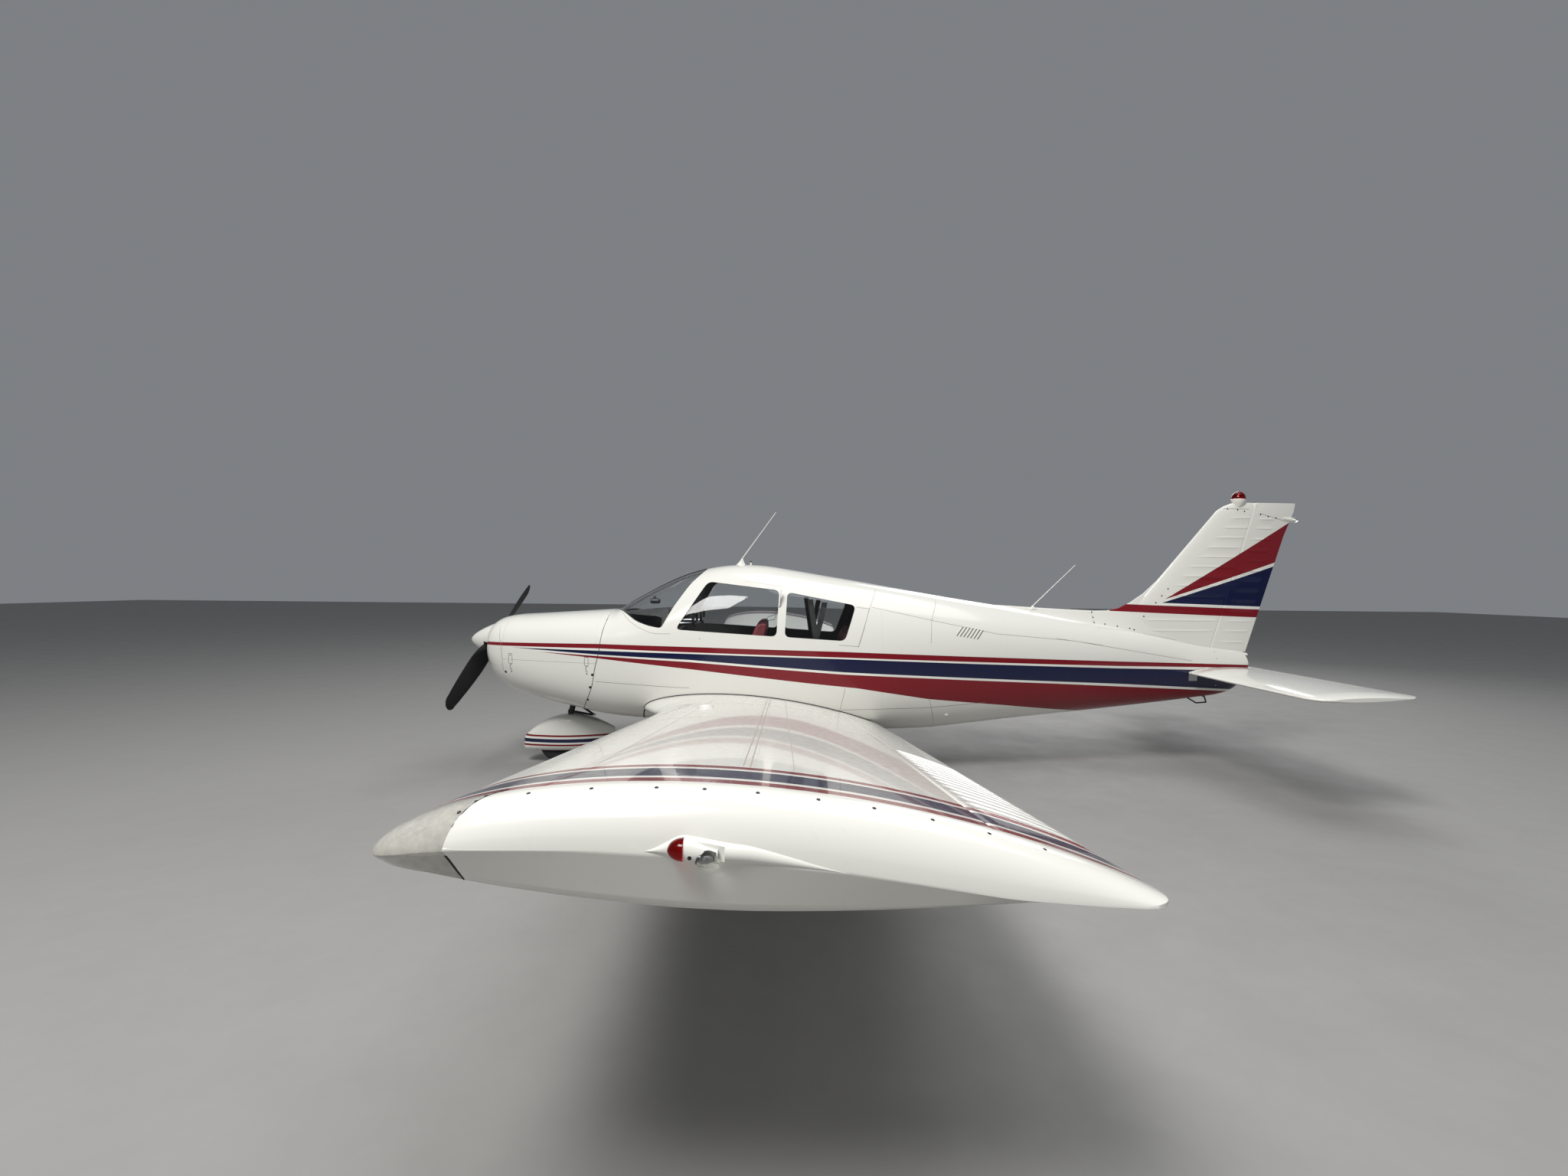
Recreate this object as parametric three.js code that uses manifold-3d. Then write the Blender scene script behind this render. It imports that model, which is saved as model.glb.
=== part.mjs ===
// A four-seat, single-engine, low-wing light aircraft, parked on its three wheels.
// Millimetres. +X aft, +Y towards the right wing, +Z up, the ground at Z = 0.
// Stations are distances aft of the spinner's tip, which the whole group is shifted by at the end.
import * as THREE from "three";
import { mergeVertices } from "three/addons/utils/BufferGeometryUtils.js";
import Module from "manifold-3d";

const wasm = await Module();
wasm.setup();

const radians = THREE.MathUtils.degToRad;

// Driving dimensions
const LENGTH = 7127; // spinner tip to the back of the tail light
const SEAT = 0.3; // between pieces that touch
const CLEAR = 6; // round moving surfaces
const SLIVER = 0.02; // edges shorter than this are closed up after cutting
const WALL = 30; // cabin wall with its lining
const COWL_WALL = 10;
const PANE = 6;

// Engine and propeller
const THRUST_Z = 1047;
const PROP_STATION = 192;
const PROP_RADIUS = 940;
const PROP_TILT = radians(28);
const SPINNER_RADIUS = 146;
const SPINNER_BACK = 228;
const FIREWALL_STATION = 1205;
const COWL_SEAM_STATION = 425;
const COWL_SEAM_Z = 914;

// Cabin
const FLOOR_TOP = 640;
const CABIN_BACK = 3470;
const BULKHEAD = 25;

// Wing
const DIHEDRAL = radians(7);
const WING_PIVOT_Z = 430;
const WING_LE = 1839;
const WING_CHORD = 1600;
const WING_LE_Z = 484;
const WING_DROP = 104; // how far the trailing edge lies below the leading edge
const WING_THICK = 0.15;
const WING_CAMBER = 0.4 / (4 * Math.PI);
const WASHOUT = { from: 560, to: 4500, drop: 28 }; // how far the leading edge sinks along the span
const HINGE_STATION = 3125;
const FLAP_IN = 770;
const FLAP_OUT = 2980;
const AILERON_OUT = 4500;
const TIP_OUT = 4608;
const LENS_STATION = 2006;

// Tail
const STABILATOR_LE = 6115;
const STABILATOR_CHORD = 720;
const STABILATOR_SPAN = 1525;
const STABILATOR_PIVOT = 6300;
const STABILATOR_Z = 832;
const STABILATOR_NOSE_DOWN = radians(2.1);
const TAB_CHORD = 118;
const TAB_HALF_SPAN = 1150;

// Landing gear
const TYRE_RADIUS = 222;
const TYRE_HALF_WIDTH = 78;
const RIM_RADIUS = 84;
const AXLE_RADIUS = 18;
const MAIN_STATION = 2634;
const MAIN_HALF_TREAD = 1525;
const MAIN_STRUT_Y = 1398;
const NOSE_AXLE_STATION = 775;
const NOSE_TYRE_RADIUS = 180;
const NOSE_TYRE_HALF_WIDTH = 62;
const NOSE_RIM_RADIUS = 66;
const NOSE_STRUT_RADIUS = 24;
const STEER_STATION = 800; // where the steering axis passes the axle's height
const STEER_LEAN = 0.25; // how far it runs aft for each millimetre up

const paint = (color, roughness, metalness) =>
  new THREE.MeshStandardMaterial({ color, roughness, metalness });
const WHITE = paint(0xf1eee4, 0.25, 0);
const GLASS = paint(0xc9d6d8, 0.05, 0);
const BLACK = paint(0x18181a, 0.4, 0.2);
const ALLOY = paint(0xb9bbbd, 0.4, 0.9);
const STEEL = paint(0x4c4e52, 0.45, 0.8);
const RUBBER = paint(0x1c1c1d, 0.85, 0);
const TRIM = paint(0x2b2a2a, 0.7, 0);
const SEAT_CLOTH = paint(0x5a1d22, 0.8, 0);
const RED_LENS = paint(0xb01515, 0.1, 0);
const GREEN_LENS = paint(0x0f8a3c, 0.1, 0);
const CLEAR_LENS = paint(0xe9f0f2, 0.05, 0);

// Turns rows of numbers into records with named columns.
function table(columns, rows) {
  return rows.map((row) => Object.fromEntries(columns.map((column, i) => [column, row[i]])));
}

// A closed solid from a geometry, facing out whichever way its points run.
function solidFrom(geometry) {
  const bare = new THREE.BufferGeometry();
  bare.setAttribute("position", geometry.getAttribute("position").clone());
  if (geometry.index) bare.setIndex(geometry.index.clone());
  const merged = mergeVertices(bare, 1e-3);
  const kept = [];
  const index = merged.index.array;
  for (let i = 0; i < index.length; i += 3) {
    const [a, b, c] = [index[i], index[i + 1], index[i + 2]];
    if (a !== b && b !== c && c !== a) kept.push(a, b, c);
  }
  const vertProperties = merged.attributes.position.array;
  const make = (triVerts) => new wasm.Manifold(new wasm.Mesh({ numProp: 3, vertProperties, triVerts }));
  const solid = make(new Uint32Array(kept));
  return solid.volume() < 0 ? make(new Uint32Array(kept).reverse()) : solid;
}

function geometryFrom(solid) {
  const mesh = solid.getMesh();
  const geometry = new THREE.BufferGeometry();
  geometry.setAttribute("position", new THREE.BufferAttribute(new Float32Array(mesh.vertProperties), 3));
  geometry.setIndex(new THREE.BufferAttribute(new Uint32Array(mesh.triVerts), 1));
  return geometry;
}

const join = (...solids) => solids.reduce((a, b) => a.add(b));
const cut = (solid, ...tools) => tools.reduce((a, b) => a.subtract(b), solid);

// Triangles that fill a ring lying square to one axis, in the ring's own order.
function capFaces(ring) {
  const spread = new THREE.Box3().setFromPoints(ring).getSize(new THREE.Vector3());
  const [u, v] = ["x", "y", "z"].sort((a, b) => spread[b] - spread[a]);
  const flat = ring.map((p) => new THREE.Vector2(p[u], p[v]));
  const faces = THREE.ShapeUtils.triangulateShape(flat, []);
  const first = faces[0].map((i) => flat[i]);
  const agrees = THREE.ShapeUtils.area(first) * THREE.ShapeUtils.area(flat) > 0;
  return agrees ? faces : faces.map((face) => face.reverse());
}

// A skin over rings of equally many points, closed at both ends.
function loft(rings) {
  const count = rings[0].length;
  const points = rings.flat();
  const lastStart = (rings.length - 1) * count;
  const index = [];
  for (let j = 0; j < count; j++) {
    const next = (j + 1) % count;
    for (let start = 0; start < lastStart; start += count) {
      index.push(start + j, start + next, start + count + next);
      index.push(start + j, start + count + next, start + count + j);
    }
  }
  index.push(...capFaces(rings[0]).flatMap(([a, b, c]) => [c, b, a]));
  index.push(...capFaces(rings[rings.length - 1]).flat().map((i) => lastStart + i));
  const geometry = new THREE.BufferGeometry().setFromPoints(points);
  geometry.setIndex(index);
  return geometry;
}

function box(x0, x1, y0, y1, z0, z1) {
  const geometry = new THREE.BoxGeometry(x1 - x0, y1 - y0, z1 - z0);
  return solidFrom(geometry.translate((x0 + x1) / 2, (y0 + y1) / 2, (z0 + z1) / 2));
}

// A round bar, or a cone, from one point to another.
function bar(from, to, radius, endRadius = radius, sides = 16) {
  const start = new THREE.Vector3(...from);
  const run = new THREE.Vector3(...to).sub(start);
  const geometry = new THREE.CylinderGeometry(endRadius, radius, run.length(), sides);
  geometry.translate(0, run.length() / 2, 0);
  const turn = new THREE.Quaternion().setFromUnitVectors(new THREE.Vector3(0, 1, 0), run.clone().normalize());
  return solidFrom(geometry.applyQuaternion(turn).translate(start.x, start.y, start.z));
}

function ball(centre, radii, segments = 16) {
  const geometry = new THREE.SphereGeometry(1, segments, segments / 2);
  return solidFrom(geometry.scale(...radii).translate(...centre));
}

// A side-view outline of [station, height] corners, its corners rounded, pushed out from y0 to y1.
// inset moves every corner that far towards the middle.
function sidePlate(corners, y0, y1, { round = 0, inset = 0 } = {}) {
  const points = corners.map(([x, z]) => new THREE.Vector2(x, z));
  const middle = points.reduce((sum, p) => sum.clone().add(p)).divideScalar(points.length);
  const moved = points.map((p) => p.clone().add(middle.clone().sub(p).setLength(inset)));
  const shape = new THREE.Shape();
  moved.forEach((corner, i) => {
    const before = moved[(i + moved.length - 1) % moved.length];
    const after = moved[(i + 1) % moved.length];
    const reach = Math.min(round, corner.distanceTo(before) / 2.2, corner.distanceTo(after) / 2.2);
    const enter = corner.clone().add(before.clone().sub(corner).setLength(reach));
    const leave = corner.clone().add(after.clone().sub(corner).setLength(reach));
    if (i === 0) shape.moveTo(enter.x, enter.y);
    else shape.lineTo(enter.x, enter.y);
    if (reach > 0) shape.quadraticCurveTo(corner.x, corner.y, leave.x, leave.y);
  });
  shape.closePath();
  const settings = { depth: y1 - y0, bevelEnabled: false, curveSegments: 4 };
  const geometry = new THREE.ExtrudeGeometry(shape, settings);
  return solidFrom(geometry.rotateX(Math.PI / 2).translate(0, y1, 0));
}

// A plan-view outline of [station, y] corners, pushed up from z0 to z1.
function topPlate(corners, z0, z1) {
  const shape = new THREE.Shape(corners.map(([x, y]) => new THREE.Vector2(x, y)));
  const geometry = new THREE.ExtrudeGeometry(shape, { depth: z1 - z0, bevelEnabled: false });
  return solidFrom(geometry.translate(0, 0, z0));
}

const aircraft = new THREE.Group();

function place(name, solid, material, shift = [0, 0, 0]) {
  const mesh = new THREE.Mesh(geometryFrom(solid.simplify(SLIVER)), material);
  mesh.name = name;
  mesh.position.set(...shift);
  aircraft.add(mesh);
  return mesh;
}

const mirrorY = (solid) => solidFrom(geometryFrom(solid).scale(1, -1, 1));

// The same solid, built on the right, placed on both sides and cut by what it rests against.
// material may differ: [left, right].
function placePair(name, solid, material, shift = [0, 0, 0], against = []) {
  const [left, right] = Array.isArray(material) ? material : [material, material];
  place(`${name}_right`, cut(solid, ...against), right, shift);
  place(`${name}_left`, cut(mirrorY(solid), ...against), left, [shift[0], -shift[1], shift[2]]);
}

// Fuselage sections. half is the half width, waist the height where it is widest,
// upper and lower are how square the section is above and below the waist.
const BODY = table(["station", "top", "bottom", "half", "waist", "upper", "lower"], [
  [236, 1150, 905, 180, 1030, 2.1, 2.1],
  [246, 1184, 838, 262, 1025, 2.2, 2.2],
  [272, 1216, 776, 322, 1015, 2.3, 2.3],
  [330, 1246, 712, 366, 1000, 2.4, 2.5],
  [430, 1266, 654, 402, 985, 2.5, 2.6],
  [570, 1275, 612, 432, 970, 2.6, 2.7],
  [760, 1287, 568, 462, 955, 2.7, 2.8],
  [960, 1300, 524, 490, 940, 2.7, 2.9],
  [1205, 1316, 474, 520, 930, 2.65, 3.0],
  [1290, 1322, 464, 529, 930, 2.6, 3.0],
  [1380, 1378, 459, 537, 932, 2.35, 3.1],
  [1474, 1431, 455, 544, 935, 2.2, 3.1],
  [1650, 1527, 448, 553, 940, 2.15, 3.2],
  [1826, 1608, 440, 558, 945, 2.2, 3.3],
  [2003, 1664, 432, 560, 950, 2.3, 3.4],
  [2179, 1696, 424, 560, 950, 2.4, 3.4],
  [2356, 1707, 416, 560, 950, 2.45, 3.4],
  [2533, 1699, 408, 558, 950, 2.45, 3.4],
  [2692, 1676, 402, 555, 950, 2.45, 3.4],
  [2887, 1645, 396, 548, 950, 2.4, 3.3],
  [3065, 1616, 390, 539, 948, 2.35, 3.2],
  [3242, 1588, 386, 528, 945, 2.3, 3.1],
  [3470, 1550, 384, 510, 940, 2.25, 3.0],
  [3864, 1484, 396, 468, 930, 2.2, 2.9],
  [4202, 1430, 430, 428, 920, 2.2, 2.8],
  [4507, 1384, 464, 386, 910, 2.15, 2.7],
  [4811, 1333, 494, 341, 900, 2.15, 2.6],
  [5121, 1280, 523, 292, 890, 2.1, 2.5],
  [5503, 1214, 562, 229, 880, 2.1, 2.4],
  [5855, 1147, 600, 170, 868, 2.1, 2.3],
  [6207, 1078, 640, 116, 858, 2.0, 2.2],
  [6482, 1030, 676, 78, 856, 2.0, 2.1],
  [6620, 1006, 740, 60, 868, 2.0, 2.0],
  [6690, 990, 838, 46, 910, 2.0, 2.0],
]);

// The section at a station, on a smooth curve through the table's rows.
function bodyAt(station) {
  const last = BODY.length - 1;
  const found = BODY.findIndex((row) => row.station >= station);
  const i = Math.min(Math.max(found < 0 ? last : found, 1), last);
  const [a, b, c, d] = [i - 2, i - 1, i, i + 1].map((k) => BODY[Math.min(Math.max(k, 0), last)]);
  const t = (station - b.station) / (c.station - b.station);
  const blend = (key) => {
    const span = c.station - b.station;
    const before = (c[key] - a[key]) / (c.station - a.station);
    const after = (d[key] - b[key]) / (d.station - b.station);
    const [t2, t3] = [t * t, t * t * t];
    return (
      b[key] * (2 * t3 - 3 * t2 + 1) +
      c[key] * (3 * t2 - 2 * t3) +
      span * (before * (t3 - 2 * t2 + t) + after * (t3 - t2))
    );
  };
  const value = (key) => (key === "station" ? station : blend(key));
  return Object.fromEntries(Object.keys(BODY[0]).map((key) => [key, value(key)]));
}

const BODY_SIDES = 32;

function bodyRing(station, inset) {
  const row = bodyAt(station);
  const ring = [];
  for (let k = 0; k < BODY_SIDES; k++) {
    const angle = (2 * Math.PI * k) / BODY_SIDES;
    const [c, s] = [Math.cos(angle), Math.sin(angle)];
    const power = 2 / (s >= 0 ? row.upper : row.lower);
    const height = (s >= 0 ? row.top - row.waist : row.waist - row.bottom) - inset;
    const y = Math.sign(c) * Math.abs(c) ** power * (row.half - inset);
    const z = row.waist + Math.sign(s) * Math.abs(s) ** power * height;
    ring.push(new THREE.Vector3(station, y, z));
  }
  return ring;
}

// The fuselage between two stations, its skin moved in by inset. every skips rows of the table.
function bodySolid(from, to, inset = 0, every = 1) {
  const inside = BODY.filter((row, i) => i % every === 0 && row.station > from + 8 && row.station < to - 8)
    .map((row) => row.station);
  return solidFrom(loft([from, ...inside, to].map((s) => bodyRing(s, inset))));
}

// Half thickness of an aerofoil 0.2 thick, thickest at 0.4 of its chord.
const FORE = [0.222678, -0.026826, -0.191402, 0.008135];
const REAR = [0.002, 0.315, -0.2333, -0.0324];
function halfThickness(x) {
  const r = 1 - x;
  if (x < 0.4) return FORE[0] * Math.sqrt(x) + FORE[1] * x + FORE[2] * x * x + FORE[3] * x ** 3;
  return REAR[0] + REAR[1] * r + REAR[2] * r * r + REAR[3] * r ** 3;
}

function camberLine(x) {
  if (x <= 0 || x >= 1) return 0;
  return -((1 - x) * Math.log(1 - x) + x * Math.log(x));
}

// Points round an aerofoil, from the trailing edge over the top to the nose and back underneath,
// as [share of chord, height over chord].
function aerofoil(thickness, camber, steps = 13) {
  const surface = (side) => (x) => [x, camber * camberLine(x) + (side * halfThickness(x) * thickness) / 0.2];
  const shares = Array.from({ length: steps }, (_, i) => (1 - Math.cos((Math.PI * i) / (steps - 1))) / 2);
  return [...shares.slice().reverse().map(surface(1)), ...shares.slice(1).map(surface(-1))];
}

// Cowl and nose bowl: shells with two cooling inlets beside the spinner and the landing light below it.
const INLET_Y = 215;
const INLET_Z = 1040;
const LAMP_Z = 800;
const LAMP_RADIUS = 78;
const cowlShell = cut(
  bodySolid(236, FIREWALL_STATION),
  bodySolid(262, FIREWALL_STATION + 10, COWL_WALL, 2),
);
const topCowlRegion = box(COWL_SEAM_STATION, FIREWALL_STATION + 20, -700, 700, COWL_SEAM_Z, 1500);
const oilDoor = { front: 800, back: 940, inner: 150, outer: 330 };
const oilDoorBox = (inset) =>
  box(oilDoor.front + inset, oilDoor.back - inset, oilDoor.inner + inset, oilDoor.outer - inset, 1100, 1400);
const OIL_HINGE_Y = oilDoor.inner + CLEAR;
const OIL_HINGE_Z = 1300;
const OIL_HINGE_FOOT = 1272;
const oilHinge = (from, to) =>
  cut(
    join(
      bar([from, OIL_HINGE_Y, OIL_HINGE_Z], [to, OIL_HINGE_Y, OIL_HINGE_Z], 5, 5, 12),
      box(from, to, OIL_HINGE_Y - 4, OIL_HINGE_Y + 4, OIL_HINGE_FOOT, OIL_HINGE_Z),
    ),
    bodySolid(700, 1100, 5),
  );
place("cowl_top", join(
  cut(cowlShell.intersect(topCowlRegion), oilDoorBox(0)),
  oilHinge(oilDoor.front - 12, oilDoor.front + CLEAR - SEAT),
  oilHinge(oilDoor.back - CLEAR + SEAT, oilDoor.back + 12),
), WHITE);
place("oil_door", join(
  cowlShell.intersect(oilDoorBox(CLEAR)),
  oilHinge(oilDoor.front + CLEAR + SEAT, oilDoor.back - CLEAR - SEAT),
), WHITE);
place("cowl_bottom", cut(
  cowlShell,
  box(COWL_SEAM_STATION - SEAT, FIREWALL_STATION + 20, -700, 700, COWL_SEAM_Z - SEAT, 1500),
  bar([200, 0, THRUST_Z], [300, 0, THRUST_Z], 90),
  ball([250, INLET_Y, INLET_Z], [120, 105, 62]),
  ball([250, -INLET_Y, INLET_Z], [120, 105, 62]),
  bar([200, 0, LAMP_Z], [350, 0, LAMP_Z], LAMP_RADIUS),
  box(780, 960, -60, 60, 380, 600),
  box(985, 1140, -190, 190, 380, 640),
), WHITE);
place("landing_light", bar([286, 0, LAMP_Z], [340, 0, LAMP_Z], LAMP_RADIUS - SEAT * 2), CLEAR_LENS);

// Engine: one block with its crankshaft nose, four cylinders and sump, carried by the firewall.
const engine = join(
  box(400, FIREWALL_STATION, -150, 150, 900, 1130),
  box(500, 720, -365, 365, 950, 1080),
  box(750, 970, -385, 385, 950, 1080),
  box(480, 960, -170, 170, 760, 905),
  bar([262, 0, THRUST_Z], [420, 0, THRUST_Z], 45),
);
place("engine_block", engine, STEEL);
place("exhaust_pipe", cut(join(
  bar([930, 120, 790], [1040, 140, 560], 28, 28, 12),
  bar([1034, 139, 575], [1085, 145, 430], 28, 28, 12),
), engine), STEEL, [0, 0, -SEAT]);

// Cabin: one hollow shell from the firewall to the tail cone, with windscreen, windows and door cut.
const SCREEN = [[1285, 1460], [1285, 1319], [1362, 1322], [1429, 1288], [1511, 1239], [1610, 1207],
  [1717, 1188], [1806, 1357], [1925, 1540], [2042, 1668], [2042, 1760], [1700, 1760]];
const FRONT_WINDOW = [[2072, 1562], [2648, 1496], [2628, 1133], [1832, 1181]];
const REAR_WINDOW = [[2712, 1483], [3262, 1380], [3168, 1101], [2692, 1131]];
const DOOR = [[1792, 815], [1792, 1215], [2040, 1606], [2682, 1540], [2664, 815]];
const CORNER = 45;
const SCREEN_POST = 13; // half width of the strip between the two screens

const cabinOuter = bodySolid(FIREWALL_STATION + SEAT, CABIN_BACK);
const cabinInner = (inset) => bodySolid(FIREWALL_STATION - 10, CABIN_BACK - BULKHEAD, inset, 2);
const cabinTube = cut(cabinOuter, cabinInner(WALL));
place("firewall", box(FIREWALL_STATION + SEAT, FIREWALL_STATION + 12, -700, 700, 0, 2000)
  .intersect(cabinInner(WALL + SEAT)), ALLOY);
const screenHole = (inset) => sidePlate(SCREEN, SCREEN_POST + inset, 700, { inset });
const windowHole = (corners, y0, y1, inset) => sidePlate(corners, y0, y1, { round: CORNER, inset });
const doorHole = (inset) => sidePlate(DOOR, 150, 700, { round: 60, inset });
const DOOR_HINGE_STATION = DOOR[0][0] + 4;
const DOOR_HINGE_Y = 576;
const DOOR_HINGE_LEAF = 26;
const doorHinge = (z0, z1, toAft) =>
  cut(
    join(
      bar([DOOR_HINGE_STATION, DOOR_HINGE_Y, z0], [DOOR_HINGE_STATION, DOOR_HINGE_Y, z1], 9, 9, 16),
      box(
        toAft ? DOOR_HINGE_STATION : DOOR_HINGE_STATION - DOOR_HINGE_LEAF,
        toAft ? DOOR_HINGE_STATION + DOOR_HINGE_LEAF : DOOR_HINGE_STATION,
        DOOR_HINGE_Y - 56, DOOR_HINGE_Y, z0, z1,
      ),
    ),
    cabinInner(8),
  );
const DOOR_HINGE_HEIGHTS = [870, 1090];

place("cabin_shell", join(
  cut(
    cabinTube,
    screenHole(0),
    mirrorY(screenHole(0)),
    windowHole(FRONT_WINDOW, -700, -150, 0),
    windowHole(REAR_WINDOW, -700, 700, 0),
    doorHole(0),
  ),
  ...DOOR_HINGE_HEIGHTS.flatMap((z) => [doorHinge(z - 24, z, false), doorHinge(z + 40, z + 64, false)]),
), WHITE);
place("cabin_door", join(
  cut(cabinTube.intersect(doorHole(CLEAR + 2)), windowHole(FRONT_WINDOW, 150, 700, 0)),
  ...DOOR_HINGE_HEIGHTS.map((z) => doorHinge(z + SEAT, z + 40 - SEAT, true)),
), WHITE);

const paneSkin = cut(
  bodySolid(FIREWALL_STATION + 30, CABIN_BACK - 30, 4),
  bodySolid(FIREWALL_STATION, CABIN_BACK, 4 + PANE),
);
const pane = (hole) => paneSkin.intersect(hole);
placePair("windscreen", pane(screenHole(0.5)), GLASS);
place("window_front_left", pane(windowHole(FRONT_WINDOW, -700, -150, 0.5)), GLASS);
place("door_window", pane(windowHole(FRONT_WINDOW, 150, 700, 0.5)), GLASS);
placePair("window_rear", pane(windowHole(REAR_WINDOW, 150, 700, 0.5)), GLASS);

// Inside the cabin
const floorSlab = box(1230, CABIN_BACK - 40, -500, 500, FLOOR_TOP - 30, FLOOR_TOP);
place("cabin_floor", floorSlab.intersect(cabinInner(WALL + SEAT)), TRIM);
const panelPlate =
  sidePlate([[1330, 1302], [1735, 1331], [1768, 1300], [1740, 1000], [1710, 1000], [1715, 1262]], -495, 495);
const yoke = (y) => join(
  bar([1740, y, 1215], [1950, y, 1215], 11, 11, 12),
  box(1940, 1968, y - 130, y - 105, 1198, 1322),
  box(1940, 1968, y + 105, y + 130, 1198, 1322),
  box(1940, 1968, y - 130, y + 130, 1198, 1230),
);
place("instrument_panel", join(
  panelPlate.intersect(cabinInner(WALL + SEAT)),
  box(1240, 1725, -45, 45, FLOOR_TOP + SEAT, 1030),
  yoke(260),
  yoke(-260),
), TRIM);

// A seat in side view: cushion on a base that stands on the floor, and its back up to top.
const BACK_FOOT = 905;
const backLean = (top) => (top - BACK_FOOT) * 0.39;
const seatSide = (front, top) => [
  [front + 90, FLOOR_TOP + SEAT], [front + 70, 800], [front, 820], [front, 915], [front + 60, 935],
  [front + 430, BACK_FOOT], [front + 430 + backLean(top), top], [front + 510 + backLean(top), top],
  [front + 560, 820], [front + 500, 800], [front + 470, FLOOR_TOP + SEAT],
];
placePair("front_seat", sidePlate(seatSide(1920, 1240), 45, 470), SEAT_CLOTH);
place("rear_bench", sidePlate(seatSide(2700, 1190), -470, 470).intersect(cabinInner(WALL + 4)), SEAT_CLOTH);

// Tail cone: hollow to just ahead of the tailplane, whose torque tube runs through its solid end.
const TUBE_RADIUS = 35;
const tubeAt = (radius, half) =>
  bar([STABILATOR_PIVOT, -half, STABILATOR_Z], [STABILATOR_PIVOT, half, STABILATOR_Z], radius, radius, 24);
const CONE_END = BODY[BODY.length - 1].station;
const coneOuter = bodySolid(CABIN_BACK + SEAT, CONE_END);
const CONE_WALL = 20;
const CONE_SOLID_FROM = 6120;
// The cone's back end is hollowed along the arc that the tab's nose swings through.
const TAB_SWEEP = 388;
const atPivot = (y) => [STABILATOR_PIVOT, y, STABILATOR_Z];
const tabSweep = cut(
  box(6600, 6800, -200, 200, 700, 972),
  bar(atPivot(-250), atPivot(250), TAB_SWEEP, TAB_SWEEP, 96),
);
place("tailcone", cut(
  coneOuter,
  bodySolid(CABIN_BACK - 10, CONE_SOLID_FROM, CONE_WALL, 2),
  tubeAt(TUBE_RADIUS + 0.6, 300),
  tabSweep,
), WHITE);

// Tailplane in one piece: two halves outside the cone, joined by the tube, with a trim tab along the back.
function planeRing(y, leading, chord, thickness, height) {
  return aerofoil(thickness, 0, 9).map(
    ([x, z]) => new THREE.Vector3(leading + x * chord, y, height + z * chord),
  );
}
const STABILATOR_ROWS = table(["y", "leading", "chord", "thickness"], [
  [-STABILATOR_SPAN, 6235, 500, 0.05],
  [-STABILATOR_SPAN + 30, 6165, 610, 0.08],
  [-STABILATOR_SPAN + 90, 6125, 700, 0.1],
  [-STABILATOR_SPAN + 160, 6115, 720, 0.1],
  [STABILATOR_SPAN - 160, 6115, 720, 0.1],
  [STABILATOR_SPAN - 90, 6125, 700, 0.1],
  [STABILATOR_SPAN - 30, 6165, 610, 0.08],
  [STABILATOR_SPAN, 6235, 500, 0.05],
]);
const stabilatorTurn = (geometry) =>
  geometry
    .translate(-STABILATOR_PIVOT, 0, -STABILATOR_Z)
    .rotateY(-STABILATOR_NOSE_DOWN)
    .translate(STABILATOR_PIVOT, 0, STABILATOR_Z);
const turned = (solid) => solidFrom(stabilatorTurn(geometryFrom(solid)));
const stabilatorFlat = solidFrom(loft(STABILATOR_ROWS.map((r) =>
  planeRing(r.y, r.leading, r.chord, r.thickness, STABILATOR_Z))));
const TAB_HINGE = STABILATOR_LE + STABILATOR_CHORD - TAB_CHORD;
const TAB_NOSE = 16;
const tabBox = (grow) =>
  box(TAB_HINGE, TAB_HINGE + 300, -TAB_HALF_SPAN - grow, TAB_HALF_SPAN + grow, 700, 960);
const tabBar = (radius, from, to) =>
  bar([TAB_HINGE, from, STABILATOR_Z], [TAB_HINGE, to, STABILATOR_Z], radius, radius, 16);
const tabPin = (side) => tabBar(5, side * (TAB_HALF_SPAN + SEAT), side * (TAB_HALF_SPAN + 12));
const coneRoom = topPlate([[6000, -150], [6725, -59], [6725, 59], [6000, 150]], 700, 960);
place("stabilator", turned(join(
  cut(
    stabilatorFlat,
    tabBox(CLEAR),
    tabBar(TAB_NOSE + CLEAR, -TAB_HALF_SPAN - CLEAR, TAB_HALF_SPAN + CLEAR),
    coneRoom,
  ),
  tubeAt(TUBE_RADIUS, 260),
  tabPin(1),
  tabPin(-1),
)), WHITE);
place("anti_servo_tab", turned(join(
  stabilatorFlat.intersect(tabBox(0)),
  tabBar(TAB_NOSE, -TAB_HALF_SPAN, TAB_HALF_SPAN),
)), WHITE);

// Fin and rudder: one tapering aerofoil in level slices, parted at the rudder's hinge line.
const HINGE_LEAN = 0.3036; // how far the hinge line runs aft for each millimetre up
const hingeX = (z) => 6376 + (z - 1051) * HINGE_LEAN;
const TAIL_THICK = 0.09;
const FIN_ROWS = table(["z", "leading", "trailing"], [
  [1000, 5403, 6683], [1340, 5686, 6791], [1770, 6045, 6928], [2000, 6237, 7001],
  [2150, 6362, 7062], [2211, 6413, 7086], [2254, 6478, 7095], [2284, 6560, 7098],
]);
const BEAD = { rise: 3, half: 8, pitch: 87 }; // pressed ridges that stiffen the thin skins
const FIN_BEADS = { heights: ridgeHeights(1178, 11), from: 0.1, to: 0.6 };
const RUDDER_BEADS = { heights: ridgeHeights(1083, 12), from: 0.5, to: 0.9 };
function ridgeHeights(first, last) {
  return Array.from({ length: last + 1 }, (_, i) => first + i * BEAD.pitch);
}

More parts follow.
